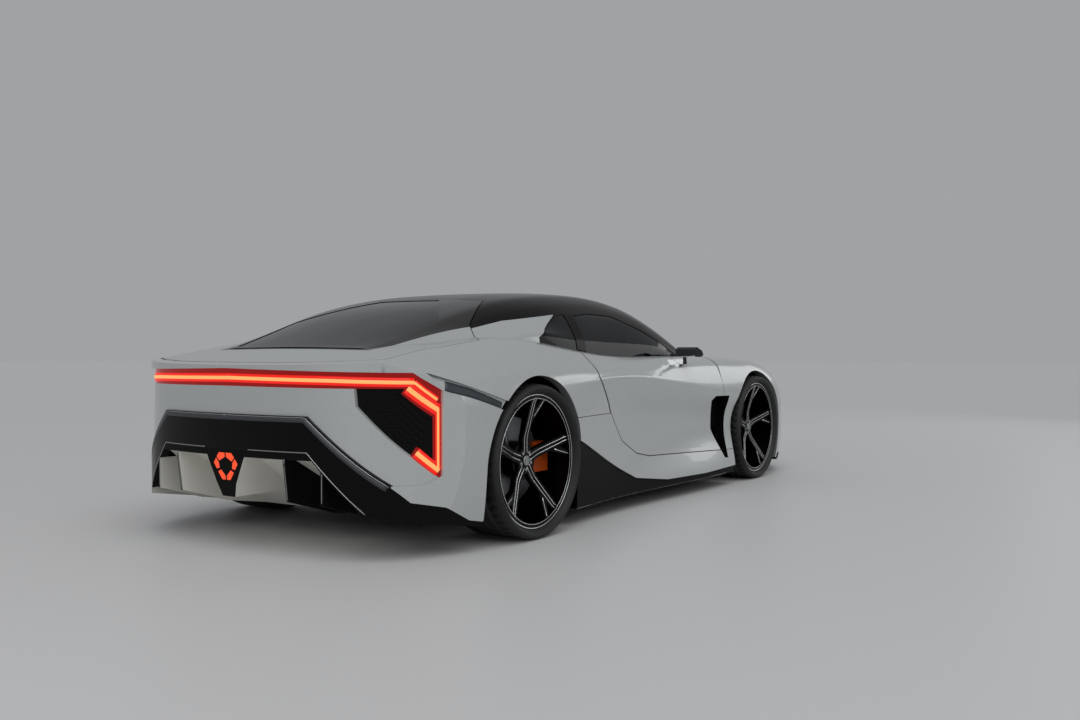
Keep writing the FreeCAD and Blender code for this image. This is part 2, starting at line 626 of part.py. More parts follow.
# Front fenders, with the headlamps let into them and the bumper
FENDER_SHARES = [
    (0.80, 0.195), (0.80, 0.74), (1.0, 0.76), (1.62, 0.70), (1.62, 0.44), (1.44, 0.40),
    (1.44, 0.09), (0.863, 0.09), (0.863, 0.195),
]
HEADLAMP_SHARES = [(1.60, 0.56), (1.93, 0.50), (1.93, 0.44), (1.86, 0.44), (1.60, 0.505)]
HEADLAMP_INNER_SHARE = 0.50
lamp_y = HEADLAMP_INNER_SHARE * HALF_WIDTH
lamp_zone = side_prism(HEADLAMP_SHARES, lamp_y, FAR_Y)
fender = shell.common(side_prism(FENDER_SHARES, 0, FAR_Y))
add_pair("fender", fender.cut([bonnet_opening, door_opening, vent, lamp_zone]))

# The front bumper with its intakes, and the splitter below it
NOSE_SEAM_SHARES = [
    (1.4435, 0.112), (1.4435, 0.397), (1.6235, 0.437), (1.6235, 0.74), (2.1, 0.74), (2.1, 0.112),
]
INTAKE_SHARES = [(0.34, 0.17), (0.40, 0.36)]
CORNER_SHARES = [(0.50, 0.17), (0.50, 0.34), (0.72, 0.38), (0.76, 0.30), (0.70, 0.17)]
INTAKE_STATION = 1.70
SPLITTER_SHARES = [(1.47, 0.03), (1.47, 0.1095), (2.1, 0.1095), (2.1, 0.03)]
nose_x = station(INTAKE_STATION)
intakes = [face_prisms(INTAKE_SHARES, nose_x, LENGTH)] + both_sides(face_prism(CORNER_SHARES, nose_x, LENGTH))
front_bumper = shell.common(side_prism(NOSE_SEAM_SHARES, -FAR_Y, FAR_Y))
add("front_bumper", front_bumper.cut([bonnet_opening] + intakes + both_sides(lamp_zone)))
grille_depth = size("panel_recess")
inner_body = outline.common(lower_hull(grille_depth))
grille = moved(inner_body, x=-grille_depth).cut(moved(inner_body, x=-2 * grille_depth))
add("front_grille", grille.common(union(intakes)))
headlamp = inner_body.cut(core_seat)
headlamp = headlamp.common(side_prism(HEADLAMP_SHARES, lamp_y + SEAT, FAR_Y, margin=-SEAT))
add_both("headlamps", headlamp.cut(bonnet_opening))
splitter_zone = side_prism(SPLITTER_SHARES, -FAR_Y, FAR_Y)
add("front_splitter", body.common(splitter_zone).cut(wells))

# The rear quarters run up past the side windows and round to the lamps at the tail
SAIL_SHARES = [
    (0.102, 0.785), (0.199, 0.886), (0.05, 0.852), (-0.127, 0.810), (-0.40, 0.772), (-0.57, 0.745),
    (-0.70, 0.74), (-0.70, 0.45), (0.102, 0.45),
]
QUARTER_SHARES = [
    (0.222, 0.74), (0.221, 0.61), (0.275, 0.45), (0.24, 0.45), (0.155, 0.40), (0.05, 0.07),
    (-0.383, 0.07), (-0.383, 0.113), (-0.403, 0.113), (-0.472, 0.124), (-0.595, 0.181), (-0.733, 0.206),
    (-0.80, 0.262), (-0.84, 0.2655), (-1.1, 0.2655), (-1.1, 0.74), (-0.6, 0.80), (0.1, 0.80), (0.15, 0.76),
]
TAIL_OUTLINE_SHARES = [
    (0.0, 0.0), (0.765, 0.0), (0.765, 0.2655), (0.846, 0.2655), (0.868, 0.283), (0.888, 0.30),
    (0.888, 0.585), (0.82, 0.655), (0.0, 0.668),
]
DECK_LIP_SHARES = [(0.0, 0.668), (0.74, 0.6563), (0.74, 0.75), (0.0, 0.75)]
LIP_STATION = -0.78
GROOVE_SHARES = [(-0.665, 0.655), (-0.253, 0.541), (-0.288, 0.510), (-0.600, 0.590), (-0.612, 0.583)]
TAIL_STATION = -0.605
QUARTER_INNER_SHARE = 0.64
tail_x = station(TAIL_STATION)
groove = side_prism(GROOVE_SHARES, 0, FAR_Y).cut(lower_hull(size("groove_depth")))
sail = roof_shell.common(side_prism(SAIL_SHARES, 0, FAR_Y))
lip_x = station(LIP_STATION)
quarter_y = QUARTER_INNER_SHARE * HALF_WIDTH
quarter = shell.common(side_prism(QUARTER_SHARES, quarter_y, FAR_Y)).cut(groove)
quarter = quarter.cut([face_prisms(TAIL_OUTLINE_SHARES, -LENGTH, tail_x),
                       face_prisms(DECK_LIP_SHARES, -LENGTH, lip_x)])
quarter = quarter.fuse(sail).cut([tailgate_opening, door_opening, sill_zone, skirt_zone])
add_pair("quarter_panel", quarter)

# The tail: a full-width lamp housing, mesh corners, a pale panel, a dark band and the diffuser below
LAMP_SHARES = [
    (0.0, 0.604), (0.64, 0.601), (0.79, 0.600), (0.782, 0.583), (0.853, 0.50), (0.853, 0.345),
    (0.818, 0.398), (0.805, 0.368), (0.868, 0.283), (0.888, 0.30), (0.888, 0.585), (0.82, 0.655),
    (0.0, 0.668),
]
MESH_SHARES = [
    (0.64, 0.601), (0.646, 0.540), (0.805, 0.368), (0.818, 0.398), (0.853, 0.345), (0.853, 0.50),
    (0.782, 0.583), (0.79, 0.600),
]
PANEL_SHARES = [
    (0.0, 0.5035), (0.446, 0.5035), (0.765, 0.2655), (0.846, 0.2655), (0.868, 0.283), (0.805, 0.368),
    (0.646, 0.540), (0.64, 0.601), (0.0, 0.604),
]
BAND_SHARES = [
    (0.0, 0.372), (0.450, 0.372), (0.682, 0.164), (0.69, 0.03), (1.1, 0.03), (1.1, 0.2655),
    (0.765, 0.2655), (0.446, 0.5035), (0.0, 0.5035),
]
DIFFUSER_SHARES = [(0.0, 0.03), (0.69, 0.03), (0.682, 0.164), (0.450, 0.372), (0.0, 0.372)]
BAND_STATION = -0.385
tail_wall = body.cut(moved(outline, x=size("wing_skin")))
both_quarters = union([nodes["quarter_panel_left"], nodes["quarter_panel_right"]])


def tail_prism(half_shares, x_high, margin):
    """A prism along the car over a half outline of (width, height) shares, on both sides."""
    half = [Vector(w * HALF_WIDTH, h * HEIGHT, 0) for w, h in half_shares]
    if half_shares[0][0] == 0:
        flat = offset_outline(half + [Vector(-p.x, p.y, 0) for p in reversed(half) if p.x > 0], margin)
        return prism([Vector(-LENGTH, p.x, p.y) for p in flat], Vector(x_high + LENGTH, 0, 0))
    return union(both_sides(face_prism(half_shares, -LENGTH, x_high, margin)))


def tail_piece(half_shares, recess):
    """A piece of the tail's end wall whose outer face stands back by recess."""
    zone = tail_prism(half_shares, tail_x - SEAT, -SEAT / 2)
    return tail_wall.common(moved(outline, x=recess)).common(zone)


add("tail_lamp", tail_piece(LAMP_SHARES, size("lens_recess")))
add("tail_panel", tail_piece(PANEL_SHARES, size("panel_recess")))
add("tail_mesh", tail_piece(MESH_SHARES, size("mesh_recess")))
deck_lip = shell.common(tail_prism(DECK_LIP_SHARES, lip_x - SEAT, -SEAT / 2))
add("deck_lip", deck_lip.cut(tailgate_opening))
band_low = shell.common(block(-LENGTH, station(BAND_STATION), -FAR_Y, FAR_Y, 0, TOP_Z))
band = band_low.common(tail_prism(BAND_SHARES, station(BAND_STATION), -SEAT / 2)).cut(both_quarters)
add("rear_band", band)

# The diffuser: a rising plate with side walls, fins and a keel that carries the fog lamp
RAMP_SHARES = [
    (-0.40, 0.078), (-0.42, 0.078), (-0.75, 0.262), (-0.93, 0.350), (-1.05, 0.350),
    (-1.05, 0.372), (-0.925, 0.372), (-0.74, 0.282), (-0.40, 0.098),
]
UNDER_RAMP_SHARES = [
    (-0.40, 0.10), (-0.74, 0.2822), (-0.925, 0.3722), (-1.1, 0.3722), (-1.1, 0.0), (-0.40, 0.0),
]
FIN_SHARES = [
    (-0.41, 0.075), (-0.41, 0.09), (-0.75, 0.27), (-0.93, 0.36), (-0.985, 0.36), (-0.96, 0.20),
    (-0.60, 0.11),
]
WALL_SHARES = [(-0.41, 0.075), (-0.41, 0.09), (-0.75, 0.27), (-0.93, 0.36), (-1.05, 0.36), (-1.05, 0.10)]
KEEL_SHARES = [(0.0, 0.20), (0.04, 0.20), (0.062, 0.25), (0.125, 0.36), (0.0, 0.36)]
KEEL_STATION = -0.70
DIFFUSER_HALF_SHARE, WALL_INNER_SHARE = 0.69, 0.662
FIN_PLACE_SHARES = (0.335, 0.515)
diffuser_y = DIFFUSER_HALF_SHARE * HALF_WIDTH
fins = [side_prism(FIN_SHARES, y * HALF_WIDTH, y * HALF_WIDTH + size("fin_thickness"))
        for y in FIN_PLACE_SHARES]
wall = side_prism(WALL_SHARES, WALL_INNER_SHARE * HALF_WIDTH, diffuser_y)
under_ramp = side_prism(UNDER_RAMP_SHARES, -diffuser_y, diffuser_y)
keel = face_prisms(KEEL_SHARES, -LENGTH, station(KEEL_STATION)).common(moved(under_ramp, z=-SEAT))
pieces = both_sides(fins[0]) + both_sides(fins[1]) + both_sides(wall) + [keel]
diffuser = side_prism(RAMP_SHARES, -diffuser_y, diffuser_y).multiFuse(pieces)
diffuser = diffuser.common(tail_prism(DIFFUSER_SHARES, LENGTH, -SEAT / 2)).common(body)
fog_face = moved(outline, x=size("lens_thickness") + SEAT)
FOG_SHARES = [
    [(0.004, 0.345), (0.004, 0.362), (0.038, 0.362), (0.056, 0.345), (0.040, 0.330)],
    [(0.044, 0.325), (0.060, 0.340), (0.076, 0.322), (0.058, 0.300), (0.040, 0.304)],
    [(0.004, 0.262), (0.004, 0.276), (0.030, 0.298), (0.050, 0.290), (0.026, 0.262)],
]
fog_zone = union([p for shares in FOG_SHARES for p in both_sides(face_prism(shares, -LENGTH, tail_x))])
add("fog_lamp", keel.common(fog_zone).common(outline).cut(moved(fog_face, x=-SEAT)))
add("diffuser", diffuser.cut(fog_zone.cut(fog_face)))

# The tailgate carries the rear glass between its dark frame
REAR_GLASS_SHARES = [
    (0.077, 0.0), (0.077, 0.20), (-0.144, 0.48), (-0.40, 0.455), (-0.57, 0.43), (-0.572, 0.0),
]
upper_lid = roof_shell.common(plan_prism(TAILGATE_SHARES, LID_LOW_Z, TOP_Z))
upper_lid = upper_lid.cut(plan_prism(REAR_GLASS_SHARES, LID_LOW_Z, TOP_Z))
lower_lid = lid_hull.cut(cabin).common(plan_prism(TAILGATE_SHARES, LID_LOW_Z, TOP_Z))
add("tailgate", upper_lid.fuse(lower_lid))
add("rear_glass", glass.common(plan_prism(REAR_GLASS_SHARES, LID_LOW_Z, TOP_Z, margin=-SEAT)))

# The roof keeps the header, the pillars and the rails round the glass
WINDSCREEN_SHARES = [(0.755, 0.0), (0.755, 0.60), (0.67, 0.575), (0.53, 0.505), (0.51, 0.30), (0.505, 0.0)]
DOOR_GLASS_SHARES = [
    (0.265, 0.68), (0.265, 0.886), (0.33, 0.899), (0.425, 0.893), (0.53, 0.828), (0.62, 0.757),
    (0.66, 0.715), (0.66, 0.68),
]
QUARTER_GLASS_SHARES = [
    (0.232, 0.700), (0.232, 0.890), (0.206, 0.880), (0.158, 0.835), (0.116, 0.790), (0.175, 0.735),
    (0.200, 0.700),
]
WINDOW_INNER_SHARE = 0.5
window_y = WINDOW_INNER_SHARE * HALF_WIDTH
windows = both_sides(side_prism(DOOR_GLASS_SHARES, window_y, FAR_Y))
windows += both_sides(side_prism(QUARTER_GLASS_SHARES, window_y, FAR_Y))
windscreen_hole = plan_prism(WINDSCREEN_SHARES, LID_LOW_Z, TOP_Z)
roof = roof_shell.cut([side_prism(SAIL_SHARES, -FAR_Y, FAR_Y), windscreen_hole, tailgate_opening] + windows)
add("roof", roof.cut([above_body] + both_sides(door_opening.common(moved(body, z=GAP)))))
add("windscreen", glass.common(plan_prism(WINDSCREEN_SHARES, LID_LOW_Z, TOP_Z, margin=-SEAT)))
add_pair("door_glass", glass.common(side_prism(DOOR_GLASS_SHARES, window_y, FAR_Y, margin=-GAP)))
add_both("quarter_glass", glass.common(side_prism(QUARTER_GLASS_SHARES, window_y, FAR_Y, margin=-SEAT)))

# The cowl fills the strip between bonnet and windscreen
COWL_SHARES = [(0.70, 0.0), (0.70, 0.70), (0.777, 0.70), (0.777, 0.0)]
cowl = lid_hull.common(plan_prism(COWL_SHARES, LID_LOW_Z, TOP_Z)).cut([cabin, bonnet_opening])
add("cowl", cowl)

# The floor tub ties the panels together. Each row holds the first and last station, the inner and outer
# width and the low and high height of a plate across the car, or of a pair beside its middle. A low
# height of 0 is the floor's.
RAIL_SHARES = {"rear": 0.61, "front": 0.50}
RAIL_THICKNESS_SHARE = 0.025
NOSE_BEAM_SHARES, TAIL_BEAM_SHARES = (1.62, 1.64), (-0.72, -0.69)
BULKHEAD_SHARES, FIREWALL_SHARES, POST_SHARES = (0.165, 0.18), (0.83, 0.838), (0.808, 0.838)
TUB_SHARES = [
    (*BULKHEAD_SHARES, 0, 1.1, 0, 0.66),
    (*FIREWALL_SHARES, 0, 1.1, 0, 0.62),
    (*POST_SHARES, 0.70, 1.1, 0, 0.62),
    (0.29, 0.32, 0.70, DOOR_INSIDE_SHARE, 0, 0.60),
    (*NOSE_BEAM_SHARES, 0, 1.1, 0.13, 0.50),
    (*TAIL_BEAM_SHARES, 0, 1.1, 0.20, 0.58),
    (TAIL_BEAM_SHARES[0], BULKHEAD_SHARES[1], 0, 0.60, 0.33, 0.35),
    (BULKHEAD_SHARES[0], POST_SHARES[1], 0.62, DOOR_INSIDE_SHARE, 0, 0.19),
    (FIREWALL_SHARES[0], NOSE_BEAM_SHARES[1], RAIL_SHARES["front"] - RAIL_THICKNESS_SHARE,
     RAIL_SHARES["front"], 0, 0.55),
    (TAIL_BEAM_SHARES[0], BULKHEAD_SHARES[1], RAIL_SHARES["rear"] - RAIL_THICKNESS_SHARE,
     RAIL_SHARES["rear"], 0, 0.60),
]
FLOOR_SHARES = [(-0.38, 1.43, 0.66), (BULKHEAD_SHARES[0], POST_SHARES[1], DOOR_INSIDE_SHARE)]
# rubber buffers on the end beams, which the closed bonnet and tailgate rest on
BUFFER_SHARES = [(1.63, 0.30, 0.40), (-0.705, 0.45, 0.40)]
floor_low = FLOOR_Z + size("floor_lift")
floor_high = floor_low + size("floor_thickness")
sill_y = door_inside_y - SEAT


def plates(row_shares):
    """The block, or the pair of blocks, of one row of the tub's table."""
    low_x, high_x = (station(s) for s in row_shares[:2])
    inner, outer = (w * HALF_WIDTH for w in row_shares[2:4])
    z_low = row_shares[4] * HEIGHT or floor_low
    z_high = row_shares[5] * HEIGHT
    if not inner:
        return [cross_block(low_x, high_x, outer, z_low, z_high)]
    return both_sides(block(low_x, high_x, inner, outer, z_low, z_high))


tub = [plate for row in TUB_SHARES for plate in plates(row)]
tub += [cross_block(station(low), station(high), width * HALF_WIDTH, floor_low, floor_high)
        for low, high, width in FLOOR_SHARES]
inside_doors = block(-LENGTH, LENGTH, sill_y, FAR_Y, 0, TOP_Z)
door_zone = door_opening.common(inside_doors)
cutters = [wells, under_ramp, moved(splitter_zone, z=SEAT)]
cutters += both_sides(sill_zone) + both_sides(skirt_zone) + both_sides(door_zone)
cutters += both_sides(moved(vent, y=-SEAT))
buffers = []
for place, width, low in BUFFER_SHARES:
    foot = Vector(station(place), width * HALF_WIDTH, low * HEIGHT)
    buffers += both_sides(Part.makeCylinder(size("buffer_radius"), TOP_Z - foot.z, foot))
buffers = [b.common(moved(body, z=-size("panel_skin") - SEAT)) for b in buffers]
floor_tub = union(tub).removeSplitter().common(core_seat).cut(cutters).multiFuse(buffers)
add("floor_tub", floor_tub)

# The cabin
SEAT_SHARES = [
    (0.27, 0.0), (0.27, 0.14), (0.222, 0.48), (0.245, 0.68), (0.28, 0.68), (0.30, 0.46), (0.345, 0.15),
    (0.50, 0.18), (0.51, 0.06), (0.49, 0.0),
]
SEAT_SPAN_SHARES = (0.13, 0.56)
STEERING_CENTRE_SHARES = (0.535, 0.37, 0.60)
STEERING_RAKE = 22
WHEEL_RADIUS_SHARE, WHEEL_BOSS_SHARE = 0.178, 0.05
DASH_SHARES = [(0.60, 0.44), (0.60, 0.62), (0.64, 0.66), (0.74, 0.67), (0.74, 0.50), (0.66, 0.40)]
CONSOLE_SHARES = [(0.34, 0.0), (0.34, 0.15), (0.56, 0.18), (0.64, 0.33), (0.70, 0.33), (0.70, 0.0)]
CONSOLE_HALF_SHARE, DASH_HALF_SHARE = 0.11, 0.70


def seat_body(name):
    """A seat's side outline, padded across by its width, on the floor."""
    owner = doc.addObject("PartDesign::Body", name)
    corners = [(f"{s} * sizes.wheelbase", f"{h} * sizes.overall_height") for s, h in SEAT_SHARES]
    pad = owner.newObject("PartDesign::Pad", name + "_pad")
    pad.Profile = bound_sketch(owner, "XZ_Plane", corners)
    low, high = SEAT_SPAN_SHARES
    bind(pad, Length=f"{high - low} * sizes.body_width / 2")
    bind_place(owner, REAR_AXLE_AT, f"{high} * sizes.body_width / 2", FLOOR_TOP_AT)
    doc.recompute()
    return keep_object(owner, name)


mirror_object(seat_body("seat_left"), "seat_right")
dash_y = DASH_HALF_SHARE * HALF_WIDTH
console_y = CONSOLE_HALF_SHARE * HALF_WIDTH
dash = side_prism(DASH_SHARES, -dash_y, dash_y).common(core_seat)
console = moved(side_prism(CONSOLE_SHARES, -console_y, console_y), z=floor_high + SEAT)
along = Vector(1, 0, 0)
column_run = station(DASH_SHARES[0][0]) - station(STEERING_CENTRE_SHARES[0])
column_run /= math.cos(math.radians(STEERING_RAKE))


def at_steering(shape):
    """A shape about the X axis, tipped to the steering column and moved to the wheel's middle."""
    s, w, h = STEERING_CENTRE_SHARES
    return moved(turned(shape, STEERING_RAKE), x=station(s), y=w * HALF_WIDTH, z=h * HEIGHT)


bore_length = column_run + 3 * size("grip_thickness")
bore = Part.makeCylinder(size("column_radius") + SEAT, bore_length, Vector(), along)
add("dashboard", dash.fuse(console).cut(at_steering(bore)))


def steering_wheel():
    """A flat-sided ring with a bar spoke and a boss, tipped back towards the driver, on its column."""
    outer, boss = WHEEL_RADIUS_SHARE * HALF_WIDTH, WHEEL_BOSS_SHARE * HALF_WIDTH
    grip = size("grip_thickness")
    back = Vector(-grip / 2, 0, 0)
    ring = Part.makeCylinder(outer, grip, back, along).cut(Part.makeCylinder(outer - grip, grip, back, along))
    bar = block(-grip / 4, grip / 4, -outer + grip / 2, outer - grip / 2, -grip, grip / 2)
    stem = block(-grip / 4, grip / 4, -grip / 2, grip / 2, -outer + grip / 2, 0)
    hub = Part.makeCylinder(boss, 2 * grip, back, along)
    column = Part.makeCylinder(size("column_radius"), column_run + 2 * grip, Vector(), along)
    return at_steering(ring.multiFuse([bar, stem, hub, column]).removeSplitter())


add("steering_wheel", steering_wheel())
ENGINE_START_SHARE, ENGINE_LENGTH_SHARE, ENGINE_HALF_SHARE, ENGINE_TOP_SHARE = 0.87, 0.15, 0.32, 0.54
engine = doc.addObject("Part::Box", "engine")
bind(engine, Length=f"{ENGINE_LENGTH_SHARE} * sizes.wheelbase",
     Width=f"{ENGINE_HALF_SHARE} * sizes.body_width",
     Height=f"{ENGINE_TOP_SHARE} * sizes.overall_height - ({FLOOR_TOP_AT})")
bind_place(engine, f"{REAR_AXLE_AT} + {ENGINE_START_SHARE} * sizes.wheelbase",
           f"-{ENGINE_HALF_SHARE} * sizes.body_width / 2", FLOOR_TOP_AT)
keep_object(engine, "engine")

# Wheels: the tyre, the rim with its brake disc, and the arms and knuckles that carry them
TYRE_SHARES = [
    (0.0, 0.78), (0.25, 0.93), (0.5, 1.0), (0.86, 0.93), (1.0, 0.72), (1.0, -0.72), (0.86, -0.93),
    (0.5, -1.0), (0.25, -0.93), (0.0, -0.78),
]
RIM_WIDTH_SHARE = 0.80
HUB_FLAT_SHARE = 0.34
DISC_RADIUS_SHARE, BELL_RADIUS_SHARE = 0.56, 0.25
BOSS_RADIUS_SHARE = 0.2
SPOKE_COUNT = 5
SPOKE_SHARES = [(-0.085, 0.0), (-0.07, 1.0), (0.07, 1.0), (0.085, 0.0)]
BRANCH_SHARES = [(-0.03, 0.40), (0.31, 0.93), (0.245, 0.96), (-0.05, 0.62)]


def spin(points, angle=360):
    """A solid turned about the Y axis from (radius, y) pairs."""
    corners = [Vector(r, y, 0) for r, y in points]
    return Part.Face(Part.makePolygon(corners + corners[:1])).revolve(Vector(0, 0, 0), Vector(0, 1, 0), angle)


def drum(radius, y_low, y_high):
    return Part.makeCylinder(radius, y_high - y_low, Vector(0, y_low, 0), Vector(0, 1, 0))


def hub_face(end):
    return RIM_WIDTH_SHARE * WIDTH[end] / 2 - size("hub_recess")


def disc_face(end):
    """Y of the brake disc's inner face, about the middle of the wheel."""
    return hub_face(end) - 2 * size("spoke_thickness") - 2 * size("disc_thickness")


def wheel_place(item, end):
    middle = f"(sizes.body_width - sizes.{end}_tyre_width) / 2 - sizes.{end}_tyre_inset"
    return bind_place(item, AXLE_AT[end], middle, f"sizes.{end}_tyre_radius")


def tyre_body(end):
    """The left tyre of an axle, turned from its section about the sketch's upright axis."""
    owner = doc.addObject("PartDesign::Body", end + "_tyre_left")
    lip = f"sizes.{end}_tyre_radius - sizes.tyre_wall_height"
    corners = [(f"{lip} + {r} * sizes.tyre_wall_height", f"{y} * sizes.{end}_tyre_width / 2")
               for r, y in TYRE_SHARES]
    ring = owner.newObject("PartDesign::Revolution", end + "_tyre_turned")
    sketch = bound_sketch(owner, "XY_Plane", corners)
    ring.Profile = sketch
    ring.ReferenceAxis = (sketch, ["V_Axis"])
    ring.Angle = 360
    wheel_place(owner, end)
    doc.recompute()
    return keep_object(owner, end + "_tyre_left")


def spoke_star(end):
    """The five forked spokes, as they stand between the hub and the barrel."""
    lip = RADIUS[end] - size("tyre_wall_height") - size("rim_seat")
    thick = size("rim_lip")
    half = RIM_WIDTH_SHARE * WIDTH[end] / 2
    deep, spoke = hub_face(end), size("spoke_thickness")
    flat = HUB_FLAT_SHARE * lip
    dish = spin([(0, deep - spoke), (flat, deep - spoke), (lip - thick / 2, half - 2 * spoke),
                 (lip - thick / 2, half - thick / 2), (flat, deep), (0, deep)])
    star = []
    for i in range(SPOKE_COUNT):
        for shares in (SPOKE_SHARES, BRANCH_SHARES):
            arm = prism([Vector(x * lip, -half, z * lip) for x, z in shares], Vector(0, 2 * half, 0))
            star.append(turned(arm, 360 * i / SPOKE_COUNT))
    return dish.common(drum(BOSS_RADIUS_SHARE * lip, -half, half).multiFuse(star))


def rim_object(end):
    """The left rim of an axle with its spokes and brake disc, bored for the spindle."""
    radius, name = f"sizes.{end}_tyre_radius", end + "_rim_"
    lip = f"({radius} - sizes.tyre_wall_height - sizes.rim_seat)"
    half = f"{RIM_WIDTH_SHARE} * sizes.{end}_tyre_width / 2"
    deep = f"({half} - sizes.hub_recess)"
    inside = f"{deep} - 2 * sizes.spoke_thickness - 2 * sizes.disc_thickness"
    barrel = bound_cut(name + "barrel", bound_drum(name + "outside", lip, f"-{half}", half),
                       bound_drum(name + "inside", f"{lip} - sizes.rim_lip", f"-{half}", half))
    flange = bound_cut(name + "flange", bound_drum(name + "edge", lip, f"{half} - sizes.rim_lip", half),
                       bound_drum(name + "hole", f"{lip} - 2 * sizes.rim_lip",
                                  f"{half} - sizes.rim_lip", half))
    disc = bound_drum(name + "disc", f"{DISC_RADIUS_SHARE} * {radius}", inside,
                      f"{inside} + sizes.disc_thickness")
    bell = bound_drum(name + "bell", f"{BELL_RADIUS_SHARE} * {radius}", inside,
                      f"{deep} - sizes.spoke_thickness / 2")
    spokes = doc.addObject("Part::Feature", name + "spokes")
    spokes.Shape = spoke_star(end)
    bore = bound_drum(name + "bore", "sizes.spindle_radius + sizes.seat_gap", f"-{half}",
                      f"{deep} - sizes.spoke_thickness / 2")
    whole = bound_fuse(name + "solid", [barrel, flange, disc, bell, spokes])
    rim = wheel_place(bound_cut(name + "left", whole, bore), end)
    doc.recompute()
    return keep_object(rim, name + "left")


for end in ("rear", "front"):
    mirror_object(tyre_body(end), end + "_tyre_right")
    mirror_object(rim_object(end), end + "_rim_right")

CARRIER_RADIUS_SHARE, STRUT_SHARE = 0.2, 0.52
CALIPER_HALF_SHARE, CALIPER_INNER_SHARE, CALIPER_OUTER_SHARE = 0.2, 0.36, 0.72
CALIPER_ANGLE = {"front": -90, "rear": 90}


def carrier(end, strut_height):
    """The carrier with its spindle, and the caliper over the disc's edge, about the wheel's middle."""
    radius, gap = RADIUS[end], size("brake_gap")
    thick = size("disc_thickness")
    low = disc_face(end)
    back = low - gap - 2 * thick
    mid = low - gap - thick
    half = CALIPER_HALF_SHARE * radius
    plate = drum(CARRIER_RADIUS_SHARE * radius, back, low - gap)
    spindle = drum(size("spindle_radius"), back, hub_face(end) - size("spoke_thickness"))
    strut = block(-thick, thick, back, mid, -strut_height, strut_height)
    inner, outer = CALIPER_INNER_SHARE * radius, CALIPER_OUTER_SHARE * radius
    bridge = block(-half, half, back, mid, 0, outer)
    grip = block(-half, half, back, low + 2 * thick, inner, outer)
    slot = drum(DISC_RADIUS_SHARE * radius + gap, low - gap, low + thick + gap)
    caliper = turned(bridge.fuse(grip.cut(slot)), CALIPER_ANGLE[end])
    return plate.multiFuse([spindle, strut, caliper])


def ball_arm(y_low, z_low):
    """A narrow arm out to the steering axis, with a round end about it."""
    reach, thick = size("ball_joint_radius"), size("arm_thickness")
    arm = block(-reach, reach, y_low, 0, z_low, z_low + thick)
    return arm.fuse(Part.makeCylinder(reach, thick, Vector(0, 0, z_low)))


def above_and_below(shapes):
    """Shapes about the wheel's middle, with their images below it."""
    return shapes + [shape.mirror(Vector(0, 0, 0), Vector(0, 0, 1)) for shape in shapes]


ARM_RISE_SHARE, ARM_HALF_SHARE = 0.43, 0.22
for end in ("rear", "front"):
    place = {"x": AXLE_X[end], "y": MID_Y[end], "z": RADIUS[end]}
    back = disc_face(end) - size("brake_gap") - 2 * size("disc_thickness")
    thick, rise = size("arm_thickness"), ARM_RISE_SHARE * RADIUS[end]
    half = ARM_HALF_SHARE * RADIUS[end]
    rail = RAIL_SHARES[end] * HALF_WIDTH + SEAT - MID_Y[end]
    if end == "rear":
        arm = block(-half, half, rail, back + size("disc_thickness") / 2, rise - thick / 2, rise + thick / 2)
        side = carrier(end, STRUT_SHARE * RADIUS[end]).multiFuse(above_and_below([arm]))
        add_both("rear_suspension", moved(side, **place))
        continue
    # the front knuckle turns between the round ends of the upper and the lower arm
    ball_z = DISC_RADIUS_SHARE * RADIUS[end] + 2 * size("brake_gap")
    reach, stand = size("ball_joint_radius"), back - size("wheel_clearance")
    knuckle = carrier(end, ball_z + thick).multiFuse(above_and_below([ball_arm(back, ball_z)]))
    add_pair("front_knuckle", moved(knuckle, **place))
    inner_arm = block(-half, half, rail, stand, rise - thick / 2, rise + thick / 2)
    riser = block(-reach, reach, stand - thick, stand, rise, ball_z + 2 * thick + SEAT)
    arm = union([inner_arm, riser, ball_arm(stand - thick, ball_z + thick + SEAT)])
    add_both("front_arms", moved(Part.makeCompound(above_and_below([arm])), **place))

# Mirrors ride on the doors
MIRROR_HEAD_SHARES = [
    (0.583, 0.697), (0.583, 0.735), (0.594, 0.745), (0.618, 0.728), (0.626, 0.708), (0.616, 0.697),
]
MIRROR_FOOT_SHARES = [(0.600, 0.66), (0.600, 0.712), (0.616, 0.712), (0.620, 0.66)]
MIRROR_SPAN_SHARES = (0.875, 1.0)
FOOT_SPAN_SHARES = (0.815, 0.90)
head = side_prism(MIRROR_HEAD_SHARES, *(share * HALF_WIDTH for share in MIRROR_SPAN_SHARES))
foot = side_prism(MIRROR_FOOT_SHARES, *(share * HALF_WIDTH for share in FOOT_SPAN_SHARES))
add_pair("mirror", head.fuse(foot).cut(moved(body, z=SEAT)))

doc.recompute()
for item in doc.Objects:
    if {"Invalid", "Error"} & set(item.State):
        raise RuntimeError(f"{item.Label} did not recompute")
for item in subparts:
    if item.Shape.isNull() or not item.Shape.isValid() or not item.Shape.Solids:
        raise RuntimeError(f"{item.Label} is not a valid solid")
os.makedirs("parts", exist_ok=True)
for item in subparts:
    item.Shape.exportStep(f"parts/{item.Label}.step")
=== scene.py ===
import bmesh
import bpy
import json
import math
from mathutils import Matrix, Vector
from mathutils.bvhtree import BVHTree


